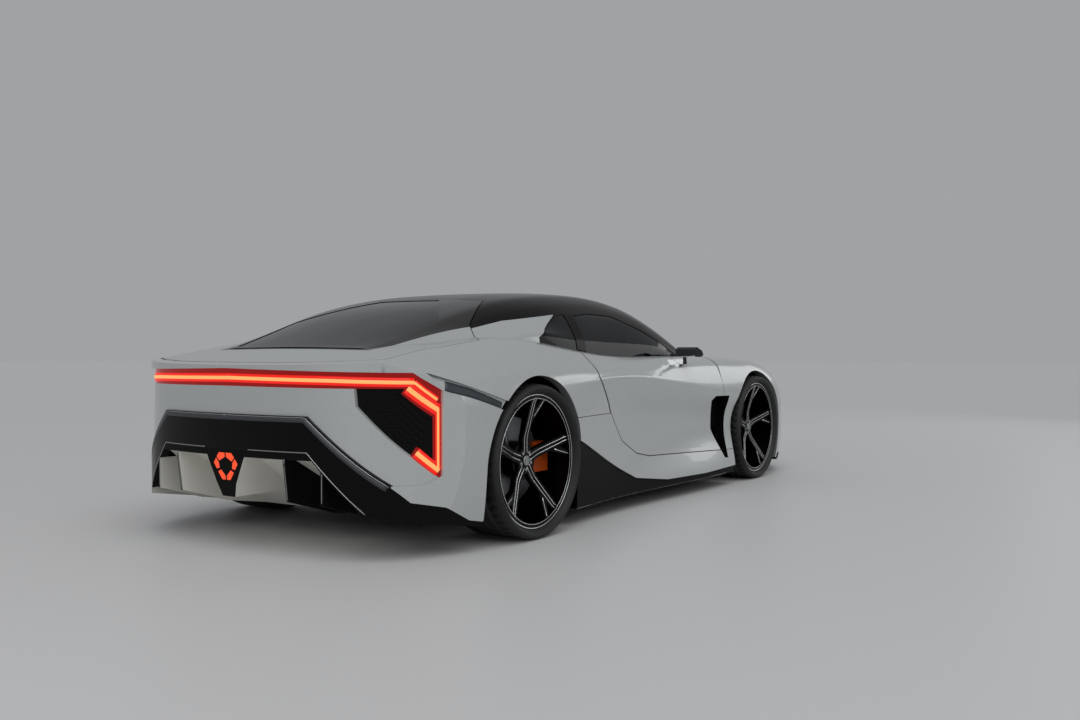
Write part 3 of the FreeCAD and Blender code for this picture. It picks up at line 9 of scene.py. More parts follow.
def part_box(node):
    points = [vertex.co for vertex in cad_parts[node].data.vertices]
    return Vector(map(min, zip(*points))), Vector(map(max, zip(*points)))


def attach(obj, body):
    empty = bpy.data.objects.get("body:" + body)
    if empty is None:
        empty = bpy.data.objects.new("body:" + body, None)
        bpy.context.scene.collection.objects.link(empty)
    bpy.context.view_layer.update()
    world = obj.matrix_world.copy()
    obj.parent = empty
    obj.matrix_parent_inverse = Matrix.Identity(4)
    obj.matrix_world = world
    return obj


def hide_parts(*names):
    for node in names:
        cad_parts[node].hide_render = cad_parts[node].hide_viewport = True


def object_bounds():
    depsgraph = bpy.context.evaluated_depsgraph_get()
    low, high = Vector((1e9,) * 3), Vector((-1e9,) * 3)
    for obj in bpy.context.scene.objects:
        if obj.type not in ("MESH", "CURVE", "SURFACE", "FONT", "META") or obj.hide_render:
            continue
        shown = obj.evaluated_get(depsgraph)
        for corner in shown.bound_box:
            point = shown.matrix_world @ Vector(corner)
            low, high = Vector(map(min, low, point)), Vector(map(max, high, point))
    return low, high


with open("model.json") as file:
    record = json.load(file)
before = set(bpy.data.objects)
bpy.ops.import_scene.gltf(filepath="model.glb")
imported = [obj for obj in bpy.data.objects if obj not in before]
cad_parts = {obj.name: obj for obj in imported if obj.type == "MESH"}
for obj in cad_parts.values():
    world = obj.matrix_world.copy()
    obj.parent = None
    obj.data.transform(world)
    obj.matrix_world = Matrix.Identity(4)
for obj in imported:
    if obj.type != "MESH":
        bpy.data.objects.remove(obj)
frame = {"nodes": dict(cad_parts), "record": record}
cad_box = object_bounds()
NODES = frame["nodes"]

# Sizes of the car that the pieces below share, in metres, read from the frame. HEIGHT is the nominal roof
# height: the height shares below are shares of it.
def wheel_of(node):
    """A wheel's middle, radius and width from its CAD tyre, on the car's left side."""
    low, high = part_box(node)
    return {"x": (low.x + high.x) / 2, "y": (low.y + high.y) / 2, "radius": (high.z - low.z) / 2,
            "width": high.y - low.y}


REAR_TYRE, FRONT_TYRE = wheel_of("rear_tyre_left"), wheel_of("front_tyre_left")
REAR_AXLE_X, FRONT_AXLE_X = REAR_TYRE["x"], FRONT_TYRE["x"]
TAIL_X, NOSE_X = cad_box[0][0], cad_box[1][0]
HALF_WIDTH = cad_box[1][1]
LENGTH = NOSE_X - TAIL_X
HEIGHT = 1.195
ENDS = {"rear": REAR_TYRE, "front": FRONT_TYRE}
SIDES = {"left": 1, "right": -1}


# Materials

def linear(hex_colour):
    """sRGB hex to a linear RGBA colour."""
    parts = [int(hex_colour[i:i + 2], 16) / 255 for i in (1, 3, 5)]
    return [c / 12.92 if c <= 0.04045 else ((c + 0.055) / 1.055) ** 2.4 for c in parts] + [1]


def add_node(material, kind, settings=None, links=None, **inputs):
    """Adds a node with its properties, its socket values and the links into it."""
    node = material.node_tree.nodes.new(kind)
    for name, value in (settings or {}).items():
        setattr(node, name, value)
    for name, value in inputs.items():
        node.inputs[name.replace("_", " ")].default_value = value
    for name, socket in (links or {}).items():
        material.node_tree.links.new(socket, node.inputs[name])
    return node


def new_material(name, hex_colour, roughness, metallic=0.0, **sockets):
    """A material on one Principled shader, with the sockets that stay the same all over it."""
    material = bpy.data.materials.new(name)
    material.use_nodes = True
    shader = material.node_tree.nodes["Principled BSDF"]
    shader.inputs["Base Color"].default_value = linear(hex_colour)
    shader.inputs["Roughness"].default_value = roughness
    shader.inputs["Metallic"].default_value = metallic
    for socket, value in sockets.items():
        shader.inputs[socket.replace("_", " ")].default_value = value
    return material


def shader_of(material):
    return material.node_tree.nodes["Principled BSDF"]


def link(material, socket, name):
    material.node_tree.links.new(socket, shader_of(material).inputs[name])


def place_of(material):
    return add_node(material, "ShaderNodeTexCoord").outputs["Object"]


def grain(material, size_mm, depth, low, high):
    """Fine moulded or cast grain: bump and a small change of roughness, with grains of size_mm."""
    noise = add_node(material, "ShaderNodeTexNoise", links={"Vector": place_of(material)},
                     Scale=1000 / size_mm, Detail=3.0)
    bump = add_node(material, "ShaderNodeBump", links={"Height": noise.outputs["Fac"]},
                    Strength=depth, Distance=size_mm / 2000)
    spread = add_node(material, "ShaderNodeMapRange", links={"Value": noise.outputs["Fac"]},
                      To_Min=low, To_Max=high)
    link(material, bump.outputs["Normal"], "Normal")
    link(material, spread.outputs["Result"], "Roughness")
    return material


def flecked(material, light, dark, size_mm):
    """Colour that drifts between two tones in patches of size_mm."""
    noise = add_node(material, "ShaderNodeTexNoise", links={"Vector": place_of(material)},
                     Scale=1000 / size_mm, Detail=4.0)
    mix = add_node(material, "ShaderNodeMix", {"data_type": "RGBA"})
    mix.inputs[6].default_value = linear(dark)
    mix.inputs[7].default_value = linear(light)
    spread = add_node(material, "ShaderNodeMapRange", links={"Value": noise.outputs["Fac"]},
                      From_Min=0.25, From_Max=0.75)
    material.node_tree.links.new(spread.outputs["Result"], mix.inputs[0])
    link(material, mix.outputs[2], "Base Color")
    return material


SILVER, BLACK, SILVER_METALLIC = "#b4b8b8", "#030304", 0.45
# Lacquer over aluminium flake: pale silver, with soft highlights under a hard clear coat. Real flake is far
# finer: it is drawn 6 mm across so that it shows.
pearl_lacquer = new_material("silver lacquer", SILVER, 0.30, SILVER_METALLIC,
                             Coat_Weight=1.0, Coat_Roughness=0.03)
flecked(pearl_lacquer, "#babebe", "#aeb2b2", 6)
# Black lacquer, sprayed and polished: deep black, with a slight drift of tone
black_lacquer = new_material("black lacquer", BLACK, 0.18, 0.0, IOR=1.2)
flecked(black_lacquer, "#040405", "#020203", 40)
# Unpainted polypropylene, moulded with a fine grain that takes the shine off
matt_moulding = grain(new_material("grained polypropylene", "#040405", 0.5, IOR=1.2), 1.2, 0.2, 0.45, 0.65)
# ABS from a polished mould: smooth, black and softly shining
dark_moulding = grain(new_material("gloss black ABS", BLACK, 0.18, IOR=1.22), 3.0, 0.02, 0.16, 0.26)
# Satin silver paint on the diffuser's tunnels: pale and even, with no sharp reflections
satin_silver = grain(new_material("satin silver paint", "#e2e0d8", 0.4, 0.1), 2.0, 0.03, 0.36, 0.46)
# Smoked safety glass: a dark tint that shows the cabin faintly, and sharp reflections
smoked_glass = new_material("smoked glass", "#0e161d", 0.03, 0.0, Transmission_Weight=0.85, IOR=1.28)
grain(smoked_glass, 400.0, 0.01, 0.015, 0.04)
# Clear polycarbonate, moulded thick: a grey shell over the headlamps
clear_lens = grain(new_material("clear polycarbonate", "#4b5155", 0.05, Transmission_Weight=0.6),
                   200, 0.01, 0.03, 0.07)
# Deep red acrylic, glowing from the diodes behind it
smoked_lens = new_material("red acrylic housing", "#1c0204", 0.15, IOR=1.35, Emission_Color=linear("#8c0a06"),
                           Emission_Strength=0.9)
grain(smoked_lens, 60, 0.02, 0.1, 0.2)
# Vulcanised rubber: matt, with a faint bloom
tyre_rubber = flecked(new_material("tyre rubber", "#101112", 0.7), "#131415", "#0d0e0f", 30)
grain(tyre_rubber, 2.0, 0.15, 0.55, 0.75)
# Cast aluminium under black lacquer: dark, with a low shine
dark_alloy = grain(new_material("black lacquered alloy", "#030303", 0.3, 0.0, IOR=1.2), 4.0, 0.05, 0.25, 0.35)
# Iron as it leaves the sand mould: grey and rough
cast_iron = grain(new_material("sand-cast iron", "#3a3a3b", 0.6, 0.7), 3.0, 0.3, 0.5, 0.7)
# Heat-proof enamel on the calipers: plain orange with a low shine
orange_enamel = grain(new_material("orange enamel", "#a8430c", 0.35), 3.0, 0.08, 0.3, 0.4)
# Dyed leather: black, its highlights broken up by the pores
black_leather = grain(new_material("black leather", "#151314", 0.5), 2.5, 0.35, 0.45, 0.65)
# Soft-touch paint over moulded trim: nearly no shine
soft_trim = grain(new_material("soft-touch trim", "#141415", 0.6), 1.5, 0.25, 0.55, 0.75)


def turned_iron(wheel):
    """A brake disc's working face, turned on a lathe: rings about the axle, 4 mm apart so that they show."""
    material = new_material("turned disc iron", "#77787a", 0.35, 0.9)
    middle = add_node(material, "ShaderNodeMapping", links={"Vector": place_of(material)},
                      Location=(-wheel["x"], 0, -wheel["radius"]))
    rings = add_node(material, "ShaderNodeTexWave", {"wave_type": "RINGS", "rings_direction": "Y"},
                     {"Vector": middle.outputs["Vector"]}, Scale=80.0)
    bump = add_node(material, "ShaderNodeBump", links={"Height": rings.outputs["Fac"]},
                    Strength=0.05, Distance=0.0005)
    link(material, bump.outputs["Normal"], "Normal")
    return material


HALF_STEP = 0.0005


def sharp_step(material, socket, edge, rising):
    """1 on one side of a value and 0 on the other, turning within a millimetre."""
    low, high = (0.0, 1.0) if rising else (1.0, 0.0)
    step = add_node(material, "ShaderNodeMapRange", links={"Value": socket}, From_Min=edge - HALF_STEP,
                    From_Max=edge + HALF_STEP, To_Min=low, To_Max=high)
    return step.outputs["Result"]


def worked(material, operation, first, second):
    """A Math node between a socket and a socket or number."""
    node = add_node(material, "ShaderNodeMath", {"operation": operation}, {0: first})
    if isinstance(second, (int, float)):
        node.inputs[1].default_value = second
    else:
        material.node_tree.links.new(second, node.inputs[1])
    return node.outputs["Value"]


def two_tone(name, half_width, taper, rear_x):
    """Silver lacquer with a black middle that narrows towards the tail, as the tailgate is sprayed."""
    material = new_material(name, SILVER, 0.26, 0.4, Coat_Weight=0.3, Coat_Roughness=0.03, IOR=1.3)
    parts = add_node(material, "ShaderNodeSeparateXYZ", links={"Vector": place_of(material)})
    across = worked(material, "ABSOLUTE", parts.outputs["Y"], 0.0)
    narrowed = worked(material, "SUBTRACT", across, worked(material, "MULTIPLY", parts.outputs["X"], taper))
    inside = worked(material, "MULTIPLY", sharp_step(material, narrowed, half_width, False),
                    sharp_step(material, parts.outputs["X"], rear_x, True))
    mix = add_node(material, "ShaderNodeMix", {"data_type": "RGBA"}, {0: inside})
    mix.inputs[6].default_value = linear(SILVER)
    mix.inputs[7].default_value = linear(BLACK)
    link(material, mix.outputs[2], "Base Color")
    metal = add_node(material, "ShaderNodeMapRange", links={"Value": inside},
                     To_Min=SILVER_METALLIC, To_Max=0.0)
    link(material, metal.outputs["Result"], "Metallic")
    return material


FINISHES = {
    "body_paint": pearl_lacquer, "black_paint": black_lacquer, "trim": dark_moulding, "under": matt_moulding,
    "grille": matt_moulding, "glazing": smoked_glass, "lamp_red": smoked_lens, "lamp_clear": clear_lens,
    "seat_leather": black_leather, "cabin_trim": soft_trim, "engine": cast_iron, "tub": matt_moulding,
    "tyre": tyre_rubber, "rim": dark_alloy, "arms": cast_iron,
}


def finish(obj, material):
    obj.data.materials.clear()
    obj.data.materials.append(material)


for subpart in frame["record"]["subparts"]:
    finish(NODES[subpart["node"]], FINISHES[subpart["material_slot"]])
# The tailgate's black middle: its half width at the car's middle, how fast it narrows, and where it ends
BLACK_HALF_WIDTH, BLACK_TAPER, BLACK_END_X = 0.945, 0.231, -1.972
finish(NODES["tailgate"], two_tone("silver and black lacquer", BLACK_HALF_WIDTH, BLACK_TAPER, BLACK_END_X))


def repaint(node, material, chosen):
    """Gives a second finish to the faces of a CAD node whose middle and normal are chosen."""
    mesh = NODES[node].data
    mesh.materials.append(material)
    for polygon in mesh.polygons:
        if chosen(polygon.center, polygon.normal):
            polygon.material_index = len(mesh.materials) - 1


def in_outline(outline, across, up):
    """Whether a point is inside a closed outline of (across, up) corners."""
    inside = False
    for (a0, u0), (a1, u1) in zip(outline, outline[1:] + outline[:1]):
        if (u0 > up) != (u1 > up) and across < (a1 - a0) * (up - u0) / (u1 - u0) + a0:
            inside = not inside
    return inside


def share_of(x):
    """The station of a place behind the rear axle."""
    return (x - REAR_AXLE_X) / (REAR_AXLE_X - TAIL_X)


# How far a face is turned to an axis, as the cosine between them: along it, leaning to it, or only slightly
ALONG, LEANING, SLIGHT = 0.9, 0.3, 0.2
# The diffuser's ramp lies above a line that rises to the tail. The keel is in the middle, the walls and fins
# are further out, in shares of the half width.
RAMP_SHARE, RAMP_LOW_SHARE, RAMP_RISE = 0.6, 0.14, 0.25
KEEL_HALF_SHARE, FIN_START_SHARE = 0.13, 0.3


def tunnel_face(middle, normal):
    """The diffuser's ramp, its keel's sides, and the sides of its walls and fins that face the middle."""
    across, up, behind = abs(middle.y) / HALF_WIDTH, middle.z / HEIGHT, -share_of(middle.x)
    ramp = normal.z < -SLIGHT and up > RAMP_LOW_SHARE + RAMP_RISE * (behind - RAMP_SHARE)
    keel_side = across < KEEL_HALF_SHARE and abs(normal.y) > LEANING
    inner_side = across > FIN_START_SHARE and normal.y * middle.y < -ALONG * abs(middle.y)
    return ramp or keel_side or inner_side


repaint("diffuser", satin_silver, tunnel_face)
# The outlet behind the front wheel is black inside
OUTLET_SHARES = [(0.731, 0.447), (0.764, 0.494), (0.839, 0.490), (0.829, 0.146), (0.804, 0.149)]
OUTLET = [(REAR_AXLE_X + s * (FRONT_AXLE_X - REAR_AXLE_X), z * HEIGHT) for s, z in OUTLET_SHARES]
OUTLET_FLOOR_Y = 0.845 * HALF_WIDTH


def outlet_face(middle, normal):
    """The outlet's walls, and its floor behind the skin."""
    wall_or_floor = abs(normal.y) < ALONG or abs(middle.y) < OUTLET_FLOOR_Y
    return wall_or_floor and in_outline(OUTLET, middle.x, middle.z)


for node in ("door", "fender", "rocker_panel"):
    for side_name in SIDES:
        repaint(f"{node}_{side_name}", matt_moulding, outlet_face)
# Silvered glass: a clean mirror with the least ripple
mirror_glass = grain(new_material("silvered mirror glass", "#d5d8da", 0.02, 1.0), 300.0, 0.005, 0.01, 0.03)
# The doors are trimmed inside, and the mirrors' glass faces the driver
INWARD = 0.5
for side_name, side in SIDES.items():
    repaint(f"door_{side_name}", soft_trim, lambda middle, normal, side=side: normal.y * side < -INWARD)
    repaint(f"mirror_{side_name}", mirror_glass, lambda middle, normal: normal.x < -ALONG)
# A caliper is outboard, clear of the hub and level with it. A disc's faces are near the axle, inside the rim.
CALIPER_Y, CALIPER_HALF_HEIGHT, CALIPER_START_SHARE = 0.73, 0.08, 0.34
DISC_RADIUS_SHARE = 0.565


def caliper_face(wheel):
    """A choice of the caliper's faces beside a wheel."""
    def chosen(middle, normal):
        beyond_hub = abs(middle.x - wheel["x"]) > CALIPER_START_SHARE * wheel["radius"]
        level = abs(middle.z - wheel["radius"]) < CALIPER_HALF_HEIGHT
        return abs(middle.y) > CALIPER_Y and beyond_hub and level
    return chosen


def disc_face(wheel):
    """A choice of the disc's faces inside a wheel's rim."""
    def chosen(middle, normal):
        off_axle = math.hypot(middle.x - wheel["x"], middle.z - wheel["radius"])
        return abs(middle.y) < wheel["y"] and off_axle < DISC_RADIUS_SHARE * wheel["radius"]
    return chosen


for node, wheel in (("rear_suspension", REAR_TYRE), ("front_knuckle_left", FRONT_TYRE),
                    ("front_knuckle_right", FRONT_TYRE)):
    repaint(node, orange_enamel, caliper_face(wheel))
for end, wheel in ENDS.items():
    iron = turned_iron(wheel)
    for side_name in SIDES:
        repaint(f"{end}_rim_{side_name}", iron, disc_face(wheel))


# Pieces that scene.py adds to the CAD nodes

def station(share):
    """X at a place along the car: -1 is the tail, 0 the rear axle, 1 the front axle and 2 the nose."""
    if share < 0:
        return REAR_AXLE_X + share * (REAR_AXLE_X - TAIL_X)
    if share > 1:
        return FRONT_AXLE_X + (share - 1) * (NOSE_X - FRONT_AXLE_X)
    return REAR_AXLE_X + share * (FRONT_AXLE_X - REAR_AXLE_X)


def piece(name, mesh, material, body):
    """Makes an object of a bmesh, gives it its finish and lets it ride on a CAD body."""
    data = bpy.data.meshes.new(name)
    mesh.to_mesh(data)
    mesh.free()
    for polygon in data.polygons:
        polygon.use_smooth = True
    obj = bpy.data.objects.new(name, data)
    bpy.context.scene.collection.objects.link(obj)
    finish(obj, material)
    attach(obj, body)
    return obj


def join(name, meshes, material, body):
    """One piece from several bmeshes."""
    whole = bmesh.new()
    for mesh in meshes:
        data = bpy.data.meshes.new("part")
        mesh.to_mesh(data)
        mesh.free()
        whole.from_mesh(data)
        bpy.data.meshes.remove(data)
    return piece(name, whole, material, body)


def mirrored(mesh):
    """A copy of a bmesh on the car's other side."""
    copy = mesh.copy()
    bmesh.ops.scale(copy, vec=(1, -1, 1), verts=copy.verts)
    bmesh.ops.reverse_faces(copy, faces=copy.faces)
    return copy


def surface(*names):
    """A search tree over the CAD nodes' surfaces, to lay pieces on."""
    mesh = bmesh.new()
    for name in names:
        mesh.from_mesh(NODES[name].data)
    tree = BVHTree.FromBMesh(mesh)
    mesh.free()
    return tree


def along(path, count):
    """Evenly spaced places along a path of corners."""
    corners = [Vector(p) for p in path]
    runs = [(b - a).length for a, b in zip(corners, corners[1:])]
    total = sum(runs)
    places = []
    for i in range(count + 1):
        reach, k = total * i / count, 0
        while k < len(runs) - 1 and reach > runs[k]:
            reach -= runs[k]
            k += 1
        ahead = (corners[k + 1] - corners[k]).normalized()
        places.append(corners[k] + ahead * reach)
    return places


LOOK_DISTANCE = 0.3
STRIP_STEP, CROSS_STEP = 0.015, 0.012


def laid_strip(tree, path, widths, look, lift, thickness, step=STRIP_STEP):
    """A strip along a path, laid on a surface that is seen along look, standing lift off it. Its width runs
    evenly from the first of widths to the last."""
    look = Vector(look).normalized()
    length = sum((Vector(b) - Vector(a)).length for a, b in zip(path, path[1:]))
    count = max(2, round(length / step))
    middles = []
    for spot in along(path, count):
        hit = tree.ray_cast(spot - look * LOOK_DISTANCE, look)
        middles.append((hit if hit[0] else tree.find_nearest(spot))[:2])
    mesh = bmesh.new()
    bmesh.ops.create_grid(mesh, x_segments=count, y_segments=math.ceil(max(widths) / CROSS_STEP), size=1)
    for vertex in mesh.verts:
        share = (vertex.co.x + 1) / 2
        i = round(share * count)
        middle, normal = middles[i]
        ahead = middles[min(i + 1, count)][0] - middles[max(i - 1, 0)][0]
        width = widths[0] + (widths[-1] - widths[0]) * share
        aside = middle + normal.cross(ahead).normalized() * (vertex.co.y * width / 2)
        vertex.co = tree.find_nearest(aside)[0] + normal * lift
    bmesh.ops.recalc_face_normals(mesh, faces=mesh.faces)
    if sum(face.normal.dot(look) for face in mesh.faces) > 0:
        bmesh.ops.reverse_faces(mesh, faces=mesh.faces)
    bmesh.ops.solidify(mesh, geom=mesh.faces[:] + mesh.edges[:] + mesh.verts[:], thickness=thickness)
    return mesh


def spun(profile, x, z, steps=96):
    """A closed ring of (radius, y) corners, spun about a wheel's axle."""
    mesh = bmesh.new()
    corners = [mesh.verts.new((x, y, z + r)) for r, y in profile]
    edges = [mesh.edges.new((a, b)) for a, b in zip(corners, corners[1:] + corners[:1])]
    bmesh.ops.spin(mesh, geom=corners + edges, cent=(x, 0, z), axis=(0, 1, 0), angle=math.tau,
                   steps=steps, use_merge=True)
    bmesh.ops.remove_doubles(mesh, verts=mesh.verts, dist=1e-5)
    bmesh.ops.recalc_face_normals(mesh, faces=mesh.faces)
    return mesh


# Tyres: grooves round the tread, cross cuts on its shoulders and a rib that guards the rim. The wall's
# corners are shares of its height and of the tyre's half width.
TYRE_WALL = 0.046
WALL_SHARES = [(0, 0.775), (0.10, 0.86), (0.20, 0.905), (0.27, 0.93), (0.40, 0.955), (0.55, 0.985),
               (0.67, 0.975), (0.80, 0.93), (0.91, 0.86), (0.965, 0.78), (0.99, 0.72)]
GROOVE_PLACES = (-0.48, -0.17, 0.17, 0.48)
GROOVE_WIDTH, GROOVE_DEPTH, GROOVE_FLOOR_SHARE = 0.010, 0.006, 0.7
# Every third field of the shoulders is cut
TREAD_STEPS, CUT_EVERY, SHOULDER_SHARE = 144, 3, 0.5
TREAD_SLACK, CUT_BORDER, CUT_DEPTH = 0.0016, 0.0015, 0.005


def tyre_profile(wheel):
    """A tyre's outline as (radius, y) corners about its middle."""
    radius, half = wheel["radius"], wheel["width"] / 2
    lip, low = radius - TYRE_WALL, radius - GROOVE_DEPTH
    outer = [(lip + rise * TYRE_WALL, y * half) for rise, y in WALL_SHARES]
    edge = GROOVE_WIDTH / 2
    floor = edge * GROOVE_FLOOR_SHARE
    crown = []
    for place in reversed(GROOVE_PLACES):
        middle = place * half
        crown += [(radius, middle + edge), (low, middle + floor)]
        crown += [(low, middle - floor), (radius, middle - edge)]
    inner = [(r, -y) for r, y in reversed(outer)]
    return outer + crown + inner


def tyre(node, wheel, side, body):
    """A tread turned about the axle, with cross cuts pressed into its shoulders."""
    x, radius, half = wheel["x"], wheel["radius"], wheel["width"] / 2
    mesh = spun([(r, side * wheel["y"] + y) for r, y in tyre_profile(wheel)], x, radius, steps=TREAD_STEPS)
    centre = Vector((x, side * wheel["y"], radius))
    cuts = []
    for face in mesh.faces:
        out = face.calc_center_median() - centre
        flat = Vector((out.x, 0, out.z))
        turn = math.atan2(out.x, out.z) / math.tau * TREAD_STEPS
        on_shoulder = flat.length > radius - TREAD_SLACK and abs(out.y) > SHOULDER_SHARE * half
        if on_shoulder and int(turn + TREAD_STEPS) % CUT_EVERY == 0:
            cuts.append(face)
    bmesh.ops.inset_individual(mesh, faces=cuts, thickness=CUT_BORDER, depth=0)
    for face in cuts:
        middle = face.calc_center_median() - centre
        inward = -Vector((middle.x, 0, middle.z)).normalized() * CUT_DEPTH
        bmesh.ops.translate(mesh, vec=inward, verts=face.verts)
    obj = piece(node.replace("_tyre", "_tread"), mesh, tyre_rubber, body)
    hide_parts(node)


WHEELS = [(end, side_name, wheel, side, f"wheel_{end}_{side_name}")
          for end, wheel in ENDS.items() for side_name, side in SIDES.items()]
# Diamond-turned edges: bare bright aluminium along the spokes and round the lip
turned_alloy = grain(new_material("diamond-turned alloy", "#d9dadb", 0.25, 1.0), 1.0, 0.03, 0.2, 0.3)
# The bright lines of one spoke, from the hub outwards, in shares of the lip's radius
SPOKES = 5
SPOKE_LINES = (((-0.034, 0.10), (-0.026, 0.945)), ((0.034, 0.10), (0.026, 0.945)),
               ((0.085, 0.655), (0.268, 0.925)))
SPOKE_EDGE, SPOKE_LIFT, SPOKE_STEP = 0.0045, 0.0012, 0.02
# The rings round the lip: how far inside the lip each one starts, and its width
RIM_RINGS = ((0.007, 0.006), (0.024, 0.003))
RING_LIFT, RING_DEPTH, RIM_FACE_SHARE = 0.0004, 0.004, 0.4


def rim_edges(end, side_name, wheel, side, body):
    """Bright edges laid on the rim's spokes, and two bright rings round its lip."""
    x, radius = wheel["x"], wheel["radius"]
    lip = radius - TYRE_WALL
    face = side * wheel["y"] + side * RIM_FACE_SHARE * wheel["width"]
    tree = surface(f"{end}_rim_{side_name}")
    look = (0, -side, 0)
    meshes = []
    for i in range(SPOKES):
        turn = Matrix.Rotation(math.tau * i / SPOKES, 4, "Y")
        for path in SPOKE_LINES:
            points = []
            for across, up in path:
                spot = turn @ Vector((across * lip, 0, up * lip))
                points.append((x + spot.x, face, radius + spot.z))
            line = laid_strip(tree, points, (SPOKE_EDGE,), look, SPOKE_LIFT, SPOKE_LIFT, SPOKE_STEP)
            meshes.append(line)
    outer = face + side * RING_LIFT
    deep = outer - side * RING_DEPTH
    for inset, wide in RIM_RINGS:
        near = lip - inset
        far = near + wide
        meshes.append(spun([(near, outer), (far, outer), (far, deep), (near, deep)], x, radius))
    join(f"{end}_rim_edges_{side_name}", meshes, turned_alloy, body)


BOLT_CIRCLE, BOLT_RADIUS, BOLT_HEIGHT, BOLT_TAPER, BOLT_EDGE = 0.042, 0.010, 0.010, 0.9, 0.001
# The cap's corners: radius and height over the hub
CAP = [(0.0, 0.0), (0.024, 0.0), (0.024, 0.005), (0.021, 0.008), (0.016, 0.006), (0.0, 0.006)]


def wheel_bolts(end, side_name, wheel, side, body):
    """Five hexagonal bolts round a turned cap in the hub."""
    x, radius = wheel["x"], wheel["radius"]
    tree = surface(f"{end}_rim_{side_name}")
    outside = side * (wheel["y"] + wheel["width"])
    face = tree.ray_cast((x + BOLT_CIRCLE, outside, radius), (0, -side, 0))[0].y
    meshes = []
    outward = Matrix.Rotation(-side * math.pi / 2, 4, "X")
    for i in range(SPOKES):
        turn = math.tau * (i + 0.5) / SPOKES
        spot = Vector((x + BOLT_CIRCLE * math.sin(turn), face, radius + BOLT_CIRCLE * math.cos(turn)))
        bolt = bmesh.new()
        bmesh.ops.create_cone(bolt, cap_ends=True, segments=6, radius1=BOLT_RADIUS,
                              radius2=BOLT_RADIUS * BOLT_TAPER, depth=BOLT_HEIGHT,
                              matrix=Matrix.Translation(spot) @ outward)
        bmesh.ops.bevel(bolt, geom=bolt.edges[:], offset=BOLT_EDGE, segments=2, profile=0.5,
                        affect="EDGES", material=-1)
        meshes.append(bolt)
    meshes.append(spun([(r, face + side * y) for r, y in CAP], x, radius, steps=48))
    join(f"{end}_wheel_bolts_{side_name}", meshes, satin_metal, body)


# Anodised aluminium: grey metal with a broad soft shine
satin_metal = grain(new_material("satin anodised aluminium", "#9b9c9c", 0.35, 0.9), 1.0, 0.02, 0.3, 0.4)
for end, side_name, wheel, side, body in WHEELS:
    tyre(f"{end}_tyre_{side_name}", wheel, side, body)
    rim_edges(end, side_name, wheel, side, body)
    wheel_bolts(end, side_name, wheel, side, body)


# The rear lamp: lit bars on the smoked housing, a bright core in a red band
def lit(name, hex_colour, strength):
    """Light from diodes behind a diffusing strip: an even glow with no hot spots."""
    material = new_material(name, "#120202", 0.4, Emission_Color=linear(hex_colour),
                            Emission_Strength=strength)
    return grain(material, 5.0, 0.01, 0.35, 0.45)


lit_core = lit("lit diode core", "#ffb46a", 1.0)
lit_red = lit("lit red band", "#f71a0c", 0.95)
# One side's lines, each with its width: the bar, its end, and the hook below it. The places are shares of
# the half width and the height.
LAMP_PATHS = [
    ([(0.0, 0.633), (0.537, 0.628), (0.814, 0.621)], 0.020),
    ([(0.814, 0.621), (0.862, 0.560)], 0.014),
    ([(0.798, 0.602), (0.864, 0.524)], 0.026),
    ([(0.8635, 0.528), (0.8635, 0.313)], 0.012),
    ([(0.865, 0.311), (0.818, 0.378)], 0.024),
]
BAND_SCALE, BAND_LIFT = 1.9, 0.003
CORE_SCALE, CORE_LIFT = 0.75, 0.006
LAMP_THICKNESS = 0.003
lamp_face = surface("tail_lamp", "tail_mesh")
TAIL_LOOK = (1, 0, 0)


def lamp_strips(scale, lift):
    """The lamp's lines on both sides of the car, their widths scaled."""
    meshes = []
    for path, width in LAMP_PATHS:
        points = [(-LENGTH / 2, y * HALF_WIDTH, z * HEIGHT) for y, z in path]
        strip = laid_strip(lamp_face, points, (width * scale,), TAIL_LOOK, lift, LAMP_THICKNESS)
        meshes += [strip, mirrored(strip)]
    return meshes


join("tail_light_bands", lamp_strips(BAND_SCALE, BAND_LIFT), lit_red, "body")
join("tail_light_cores", lamp_strips(CORE_SCALE, CORE_LIFT), lit_core, "body")
finish(NODES["fog_lamp"], lit("lit fog lens", "#ff5024", 1.0))

# Painted highlights: thin satin metal strips stand for the glints along the band's edges, the diffuser's fins
# and the skirts. The band's upper edge gets a broad grey painted highlight as well, and a strip of painted
# shade runs below the haunch.
BAND_EDGES = [[(0.0, 0.499), (0.443, 0.499), (0.760, 0.2615)],
              [(0.14, 0.3775), (0.452, 0.3775), (0.686, 0.170)]]
BAND_GLINT_PATH = [(0.0, 0.489), (0.438, 0.489), (0.752, 0.254)]
FIN_EDGES = [[(0.341, 0.352), (0.341, 0.205)], [(0.521, 0.330), (0.521, 0.205)]]
SKIRT_EDGE = [(0.115, 0.040), (0.855, 0.040)]
HAUNCH_PATH = [(-1.935, 0.885, 0.726), (-1.82, 0.94, 0.694), (-1.727, 0.955, 0.664), (-1.64, 0.975, 0.633)]
HAUNCH_WIDTHS, HAUNCH_LOOK, HAUNCH_LIFT = (0.046, 0.028), (0.3, -1, 0), 0.0015
EDGE_WIDTH, BAND_GLINT_WIDTH, EDGE_LIFT, EDGE_THICKNESS = 0.004, 0.018, 0.0003, 0.001


def glint_strips(nodes, paths, width, side_view=False):
    """Painted highlight strips on both sides of the car, along paths that are seen from behind or from the
    side.
    """
    tree = surface(*nodes)
    meshes = []
    for path in paths:
        if side_view:
            points = [(station(s), HALF_WIDTH, z * HEIGHT) for s, z in path]
        else:
            points = [(TAIL_X, y * HALF_WIDTH, z * HEIGHT) for y, z in path]
        look = (0, -1, 0) if side_view else TAIL_LOOK
        strip = laid_strip(tree, points, (width,), look, EDGE_LIFT, EDGE_THICKNESS)
        meshes += [strip, mirrored(strip)]
    return meshes


# Painted highlights along the band's upper and lower edges
join("band_edge_glints", glint_strips(["rear_band"], BAND_EDGES, EDGE_WIDTH), satin_metal, "body")
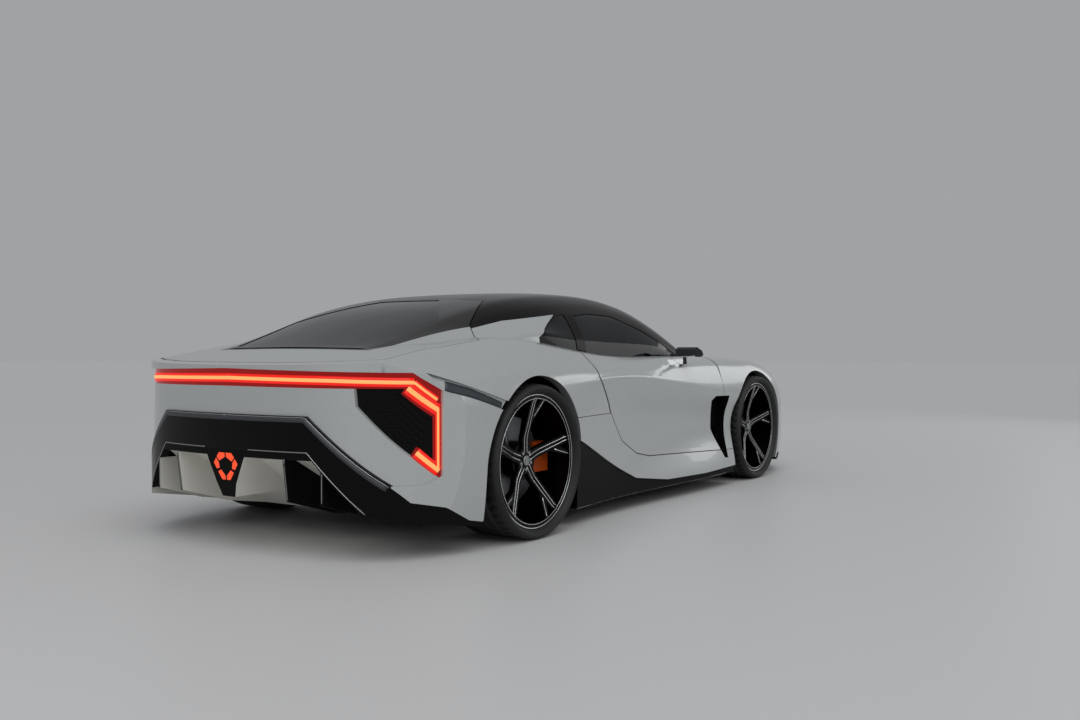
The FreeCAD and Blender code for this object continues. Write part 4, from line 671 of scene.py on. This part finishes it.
# Painted highlight: a broad grey line on the band's black lacquer, where its upper edge would roll over and
# catch the light
band_glint_grey = grain(new_material("painted highlight grey", "#3a3c40", 0.4, 0.3), 3.0, 0.02, 0.35, 0.45)
join("band_glint_line", glint_strips(["rear_band"], [BAND_GLINT_PATH], BAND_GLINT_WIDTH), band_glint_grey, "body")
# Painted highlights along the fins' edges and the skirts' lower edge
join("fin_edge_glints", glint_strips(["diffuser"], FIN_EDGES, EDGE_WIDTH), satin_metal, "body")
join("skirt_edge_glints", glint_strips(["side_skirts"], [SKIRT_EDGE], EDGE_WIDTH, side_view=True),
     satin_metal, "body")
haunch = laid_strip(surface("quarter_panel_left"), HAUNCH_PATH, HAUNCH_WIDTHS, HAUNCH_LOOK, HAUNCH_LIFT,
                    HAUNCH_LIFT)
# The body's own silver, deep in shade: a soft dark grey
shaded_silver = grain(new_material("silver in painted shade", "#3d4447", 0.35, 0.3, IOR=1.3), 3.0, 0.02, 0.3, 0.4)
join("haunch_painted_shade", [haunch, mirrored(haunch)], shaded_silver, "body")

# Headlamps: two white light lines on each lens, the lower one shorter
lit_white = lit("lit white diode line", "#f4f6ff", 1.0)
HEADLAMP_LINES = [([(1.91, 0.56, 0.468), (1.80, 0.80, 0.498), (1.64, 0.93, 0.530)], 0.010),
                  ([(1.90, 0.62, 0.452), (1.82, 0.80, 0.468), (1.72, 0.89, 0.490)], 0.006)]
HEADLAMP_LOOK, HEADLAMP_LIFT = (-1, -1, 0), 0.001


def headlamp_lines():
    """The light lines of both headlamps, laid on their lenses."""
    tree = surface("headlamps")
    meshes = []
    for path, width in HEADLAMP_LINES:
        points = [tree.find_nearest((station(s), y * HALF_WIDTH, z * HEIGHT))[0] for s, y, z in path]
        strip = laid_strip(tree, points, (width,), HEADLAMP_LOOK, HEADLAMP_LIFT, HEADLAMP_LIFT)
        meshes += [strip, mirrored(strip)]
    return meshes


join("headlamp_lines", headlamp_lines(), lit_white, "body")


# Cabin: screens and air outlets on the dashboard, arm rests and speakers in the doors, a cover on the engine
def rounded_block(centre, size, radius, tilt=0.0):
    """A block with rounded edges, tilted about the axis across the car."""
    mesh = bmesh.new()
    bmesh.ops.create_cube(mesh, size=1)
    bmesh.ops.scale(mesh, vec=size, verts=mesh.verts)
    bmesh.ops.bevel(mesh, geom=mesh.edges[:], offset=radius, segments=3, profile=0.5, affect="EDGES",
                    material=-1)
    bmesh.ops.rotate(mesh, cent=(0, 0, 0), matrix=Matrix.Rotation(tilt, 3, "Y"), verts=mesh.verts)
    bmesh.ops.translate(mesh, vec=centre, verts=mesh.verts)
    return mesh


wheel_low, wheel_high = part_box("steering_wheel")
DASH_FACE_X, DRIVER_Y = 0.297, (wheel_low.y + wheel_high.y) / 2
# A large screen in the middle and a low one before the driver: y, z, width and height
SCREENS = ((0.0, 0.665, 0.30, 0.115), (DRIVER_Y, 0.711, 0.26, 0.055))
SCREEN_X, SCREEN_DEPTH, SCREEN_EDGE = DASH_FACE_X - 0.004, 0.012, 0.004
# Polished glass over dark screens: nearly black, with sharp reflections
display_glass = grain(new_material("dark display glass", "#05070a", 0.06), 300.0, 0.005, 0.04, 0.08)
join("dash_screens", [rounded_block((SCREEN_X, y, z), (SCREEN_DEPTH, width, height), SCREEN_EDGE)
                      for y, z, width, height in SCREENS], display_glass, "body")
VENT_X, VENT_Z, VENT_PLACES = DASH_FACE_X - 0.001, 0.575, (-0.52, -0.10, 0.10, 0.60)
SLAT_COUNT, SLAT_PITCH, SLAT_SIZE, SLAT_EDGE = 4, 0.009, (0.010, 0.13, 0.0025), 0.001
SLAT_TILT = math.radians(12)
POST_Y, RAIL_LENGTH, FRAME_DEPTH, FRAME_WIDTH, FRAME_EDGE = 0.067, 0.139, 0.012, 0.005, 0.0015


def air_outlet(y):
    """A frame with level slats, let into the dashboard's face."""
    height = SLAT_PITCH * (SLAT_COUNT + 1)
    parts = []
    for i in range(SLAT_COUNT):
        slat_z = VENT_Z + (i - (SLAT_COUNT - 1) / 2) * SLAT_PITCH
        parts.append(rounded_block((VENT_X, y, slat_z), SLAT_SIZE, SLAT_EDGE, SLAT_TILT))
    post, rail = (FRAME_DEPTH, FRAME_WIDTH, height), (FRAME_DEPTH, RAIL_LENGTH, FRAME_WIDTH)
    for end in (-1, 1):
        parts.append(rounded_block((VENT_X, y + end * POST_Y, VENT_Z), post, FRAME_EDGE))
        parts.append(rounded_block((VENT_X, y, VENT_Z + end * height / 2), rail, FRAME_EDGE))
    return parts


join("air_outlets", [part for y in VENT_PLACES for part in air_outlet(y)], satin_metal, "body")
DOOR_INNER_Y = 0.740
ARM_REST_SIZE, ARM_REST_CROWN = (0.44, 0.06, 0.07), 0.006
ARM_REST_SHARE, ARM_REST_Z, ARM_REST_IN_SHARE = 0.42, 0.555, 0.4
# The speaker's corners: radius and height over the door's face
SPEAKER = [(0.0, 0.0), (0.072, 0.0), (0.072, 0.004), (0.066, 0.006), (0.062, 0.004), (0.040, 0.005),
           (0.038, 0.003), (0.0, 0.004)]
SPEAKER_SHARE, SPEAKER_Z = 0.59, 0.40


def soften(obj):
    """Rounds a padded piece by one level of subdivision."""
    modifier = obj.modifiers.new("soften", "SUBSURF")
    modifier.levels = modifier.render_levels = 1


def door_fittings(side_name, side):
    """A padded arm rest and a speaker behind its grille, on the door's inner face."""
    rest_y = side * (DOOR_INNER_Y - ARM_REST_IN_SHARE * ARM_REST_SIZE[1])
    rest = cushion((station(ARM_REST_SHARE), rest_y, ARM_REST_Z), ARM_REST_SIZE, ARM_REST_CROWN)
    obj = join(f"door_arm_rest_{side_name}", [rest], black_leather, f"door_{side_name}")
    soften(obj)
    ring = [(r, side * DOOR_INNER_Y - side * y) for r, y in SPEAKER]
    speaker = spun(ring, station(SPEAKER_SHARE), SPEAKER_Z, steps=48)
    join(f"door_speaker_{side_name}", [speaker], satin_metal, f"door_{side_name}")


# The engine's cover: a plate with seven ribs along it
engine_low, engine_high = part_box("engine")
ENGINE_X, ENGINE_TOP_Z = (engine_low.x + engine_high.x) / 2, engine_high.z
PLATE_SIZE, PLATE_LIFT, PLATE_EDGE = (0.36, 0.54, 0.024), 0.010, 0.008
RIB_SIZE, RIB_LIFT, RIB_EDGE, RIB_PITCH = (0.30, 0.022, 0.012), 0.022, 0.004, 0.07
cover = [rounded_block((ENGINE_X, 0, ENGINE_TOP_Z + PLATE_LIFT), PLATE_SIZE, PLATE_EDGE)]
for i in range(-3, 4):
    cover.append(rounded_block((ENGINE_X, i * RIB_PITCH, ENGINE_TOP_Z + RIB_LIFT), RIB_SIZE, RIB_EDGE))
join("engine_cover", cover, matt_moulding, "body")

# Wipers parked along the foot of the windscreen, laid on it from above
WIPERS = [[(0.745, 0.46), (0.728, 0.06)], [(0.745, -0.10), (0.728, -0.50)]]
ABOVE, DOWN = 1.0, (0, 0, -1)
BLADE_WIDTHS, BLADE_LIFT = (0.010,), 0.007
ARM_WIDTHS, ARM_LIFT, ARM_START = (0.018, 0.010), 0.012, (0.05, -0.02)
WIPER_THICKNESS = 0.006
screen_tree = surface("windscreen", "cowl", "bonnet")
blades, arms = [], []
for path in WIPERS:
    points = [(station(s), y, ABOVE) for s, y in path]
    (x0, y0), (x1, y1) = (point[:2] for point in points)
    blades.append(laid_strip(screen_tree, points, BLADE_WIDTHS, DOWN, BLADE_LIFT, WIPER_THICKNESS))
    arm = [(x0 + ARM_START[0], y0 + ARM_START[1], ABOVE), ((x0 + x1) / 2, (y0 + y1) / 2, ABOVE)]
    arms.append(laid_strip(screen_tree, arm, ARM_WIDTHS, DOWN, ARM_LIFT, WIPER_THICKNESS))
join("wiper_blades", blades, tyre_rubber, "body")
join("wiper_arms", arms, dark_moulding, "body")


# Honeycomb mesh in the tail's corners and the nose's intakes. The pitches and the wall are shares of a cell.
CELL, ROW_PITCH, COLUMN_PITCH, CELL_WALL = 0.022, 0.75, 0.866, 0.1
COMB_LIFT, COMB_THICKNESS = 0.004, 0.003


def honeycomb(tree, outline, look, start_x):
    """Hexagonal rings side by side, laid on a surface inside an outline of (y, z) corners."""
    mesh = bmesh.new()
    ys, zs = [y for y, z in outline], [z for y, z in outline]
    rows = int((max(zs) - min(zs)) / (CELL * ROW_PITCH)) + 1
    columns = int((max(ys) - min(ys)) / (CELL * COLUMN_PITCH)) + 1
    for row in range(rows):
        for column in range(columns):
            y = min(ys) + (column + 0.5 * (row % 2)) * CELL * COLUMN_PITCH
            z = min(zs) + row * CELL * ROW_PITCH
            if not in_outline(outline, y, z):
                continue
            place = Matrix.Translation((start_x, y, z)) @ Matrix.Rotation(math.pi / 2, 4, "Y")
            cell = bmesh.ops.create_circle(mesh, cap_ends=True, segments=6, radius=CELL / 2, matrix=place)
            face = cell["verts"][0].link_faces[0]
            bmesh.ops.inset_individual(mesh, faces=[face], thickness=CELL * CELL_WALL, depth=0)
            bmesh.ops.delete(mesh, geom=[face], context="FACES")
    look = Vector(look)
    missed = []
    for vertex in mesh.verts:
        hit = tree.ray_cast(vertex.co, look)
        if hit[0]:
            vertex.co = hit[0] - look * COMB_LIFT
        else:
            missed.append(vertex)
    bmesh.ops.delete(mesh, geom=missed, context="VERTS")
    bmesh.ops.recalc_face_normals(mesh, faces=mesh.faces)
    for face in mesh.faces:
        if face.normal.dot(look) > 0:
            face.normal_flip()
    bmesh.ops.solidify(mesh, geom=mesh.faces[:] + mesh.edges[:] + mesh.verts[:], thickness=COMB_THICKNESS)
    return mesh


# Outlines in shares of the half width and the height
TAIL_MESH_OUTLINE = [(0.655, 0.592), (0.66, 0.548), (0.80, 0.387), (0.816, 0.412), (0.843, 0.368),
                     (0.843, 0.495), (0.778, 0.575), (0.77, 0.592)]
CORNER_OUTLINE = [(0.51, 0.175), (0.51, 0.335), (0.72, 0.372), (0.75, 0.30), (0.695, 0.175)]
INTAKE_OUTLINE = [(-0.335, 0.175), (-0.39, 0.355), (0.39, 0.355), (0.335, 0.175)]
NOSE_LOOK = (-1, 0, 0)


def scaled(outline):
    """An outline in metres."""
    return [(y * HALF_WIDTH, z * HEIGHT) for y, z in outline]


tail_comb = honeycomb(surface("tail_mesh"), scaled(TAIL_MESH_OUTLINE), TAIL_LOOK, -LENGTH / 2)
join("tail_honeycomb", [tail_comb, mirrored(tail_comb)], dark_moulding, "body")
nose_face = surface("front_grille")
corner_comb = honeycomb(nose_face, scaled(CORNER_OUTLINE), NOSE_LOOK, LENGTH / 2)
corner_other = mirrored(corner_comb)
intake_comb = honeycomb(nose_face, scaled(INTAKE_OUTLINE), NOSE_LOOK, LENGTH / 2)
join("nose_honeycomb", [intake_comb, corner_comb, corner_other], dark_moulding, "body")


# Seats: leather cushions with side bolsters, in the CAD seats' place
CUSHION_CUTS, CORNER_PULL = 7, 0.12


def cushion(centre, size, crown, lean=0.0):
    """A crowned block: rounded, fuller in the middle of its faces, and drawn in between its corners."""
    mesh = bmesh.new()
    bmesh.ops.create_cube(mesh, size=1)
    bmesh.ops.subdivide_edges(mesh, edges=mesh.edges, cuts=CUSHION_CUTS, use_grid_fill=True)
    for vertex in mesh.verts:
        x, y, z = vertex.co * 2
        round_off = 1 - CORNER_PULL * (x * x * y * y + y * y * z * z + x * x * z * z) / 2
        rise = crown * (1 - x * x) * (1 - y * y)
        vertex.co = Vector((x * round_off * size[0] / 2, y * round_off * size[1] / 2,
                            z * round_off * size[2] / 2 + (rise if z > 0 else 0)))
    bmesh.ops.rotate(mesh, cent=(0, 0, 0), matrix=Matrix.Rotation(lean, 3, "Y"), verts=mesh.verts)
    bmesh.ops.translate(mesh, vec=centre, verts=mesh.verts)
    return mesh


SEAT_Y, BOLSTER_Y = 0.345 * HALF_WIDTH, 0.165
BASE_LEAN, BACK_LEAN = math.radians(-3), math.radians(-68)
# The base, the back and the head rest: x, y off the seat's middle, z, size, lean and crown height
SEAT_CUSHIONS = (
    (-0.155, 0.0, 0.262, (0.44, 0.27, 0.13), BASE_LEAN, 0.018),
    (-0.155, -BOLSTER_Y, 0.275, (0.44, 0.09, 0.15), BASE_LEAN, 0.012),
    (-0.155, BOLSTER_Y, 0.275, (0.44, 0.09, 0.15), BASE_LEAN, 0.012),
    (-0.545, 0.0, 0.545, (0.50, 0.27, 0.11), BACK_LEAN, 0.02),
    (-0.525, -BOLSTER_Y, 0.535, (0.48, 0.09, 0.15), BACK_LEAN, 0.012),
    (-0.525, BOLSTER_Y, 0.535, (0.48, 0.09, 0.15), BACK_LEAN, 0.012),
    (-0.645, 0.0, 0.845, (0.17, 0.23, 0.09), BACK_LEAN, 0.015),
)


def seat(side_name, side):
    """Base and back cushions with side bolsters and a head rest."""
    parts = [cushion((x, side * SEAT_Y + aside, z), size, crown, lean)
             for x, aside, z, size, lean, crown in SEAT_CUSHIONS]
    obj = join(f"seat_cushions_{side_name}", parts, black_leather, "body")
    soften(obj)
    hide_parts(f"seat_{side_name}")


for side_name, side in SIDES.items():
    seat(side_name, side)
    door_fittings(side_name, side)


# Floor, light and camera

FLOOR_REACH = 60


def plain_floor():
    """A level floor under the car, painted pale with a soft sheen."""
    mesh = bmesh.new()
    bmesh.ops.create_grid(mesh, x_segments=1, y_segments=1, size=FLOOR_REACH)
    data = bpy.data.meshes.new("floor")
    mesh.to_mesh(data)
    mesh.free()
    floor = bpy.data.objects.new("floor", data)
    bpy.context.scene.collection.objects.link(floor)
    material = grain(new_material("pale painted floor", "#c2c2c2", 0.5, IOR=1.3), 6.0, 0.02, 0.4, 0.5)
    finish(floor, material)


def lamp(name, kind, place, target, watts, **settings):
    """A lamp at a place, turned to its target."""
    light = bpy.data.lights.new(name, kind)
    light.energy = watts
    for setting, value in settings.items():
        setattr(light, setting, value)
    holder = bpy.data.objects.new(name, light)
    holder.location = place
    holder.rotation_euler = (Vector(target) - Vector(place)).to_track_quat("-Z", "Y").to_euler()
    bpy.context.scene.collection.objects.link(holder)


plain_floor()
# An even light from above, and a softbox behind, beside and before the car
lamp("even overhead light", "SUN", (-3, -4, 8), (0, 0, 0), 1.35, angle=math.radians(60))
lamp("rear softbox", "AREA", (-8, -1, 3.5), (-1, 0, 0.6), 75, shape="RECTANGLE", size=5, size_y=3)
lamp("side softbox", "AREA", (-1.5, -8, 3.0), (-0.5, 0, 0.6), 52, shape="RECTANGLE", size=7, size_y=2)
lamp("front softbox", "AREA", (7.5, -4, 2.6), (0, 0, 0.6), 30, shape="RECTANGLE", size=6, size_y=2)

# The world lights the car evenly. The camera, the glossy faces and the glass see it in the floor's own tone.
world = bpy.data.worlds.new("studio")
world.use_nodes = True
surroundings = world.node_tree.nodes["Background"]
surroundings.inputs["Color"].default_value = linear("#cfd2d6")
surroundings.inputs["Strength"].default_value = 0.5
backdrop = add_node(world, "ShaderNodeBackground", Color=linear("#a1a2a4"), Strength=1.0)
ray = add_node(world, "ShaderNodeLightPath").outputs
seen = add_node(world, "ShaderNodeMath", {"operation": "MAXIMUM"},
                {0: ray["Is Camera Ray"], 1: ray["Is Glossy Ray"]})
seen_through = add_node(world, "ShaderNodeMath", {"operation": "MAXIMUM"},
                        {0: seen.outputs["Value"], 1: ray["Is Transmission Ray"]})
choice = add_node(world, "ShaderNodeMixShader", links={0: seen_through.outputs["Value"],
                                                       1: surroundings.outputs["Background"],
                                                       2: backdrop.outputs["Background"]})
world.node_tree.links.new(choice.outputs["Shader"], world.node_tree.nodes["World Output"].inputs["Surface"])
bpy.context.scene.world = world

# The camera stands where the photograph was taken from: its place, and the degrees that it looks down and is
# turned from the car's long axis
CAMERA_PLACE, CAMERA_DOWN, CAMERA_TURN = (-5.3600, -3.6431, 0.8843), 0.6474, 33.5886
camera = bpy.data.cameras.new("camera")
camera.lens = 34.81
camera.sensor_width = 36
camera_object = bpy.data.objects.new("camera", camera)
camera_object.location = CAMERA_PLACE
camera_object.rotation_euler = (math.radians(90 - CAMERA_DOWN), 0, math.radians(CAMERA_TURN - 90))
bpy.context.scene.collection.objects.link(camera_object)
bpy.context.scene.camera = camera_object
bpy.context.scene.view_settings.view_transform = "Standard"
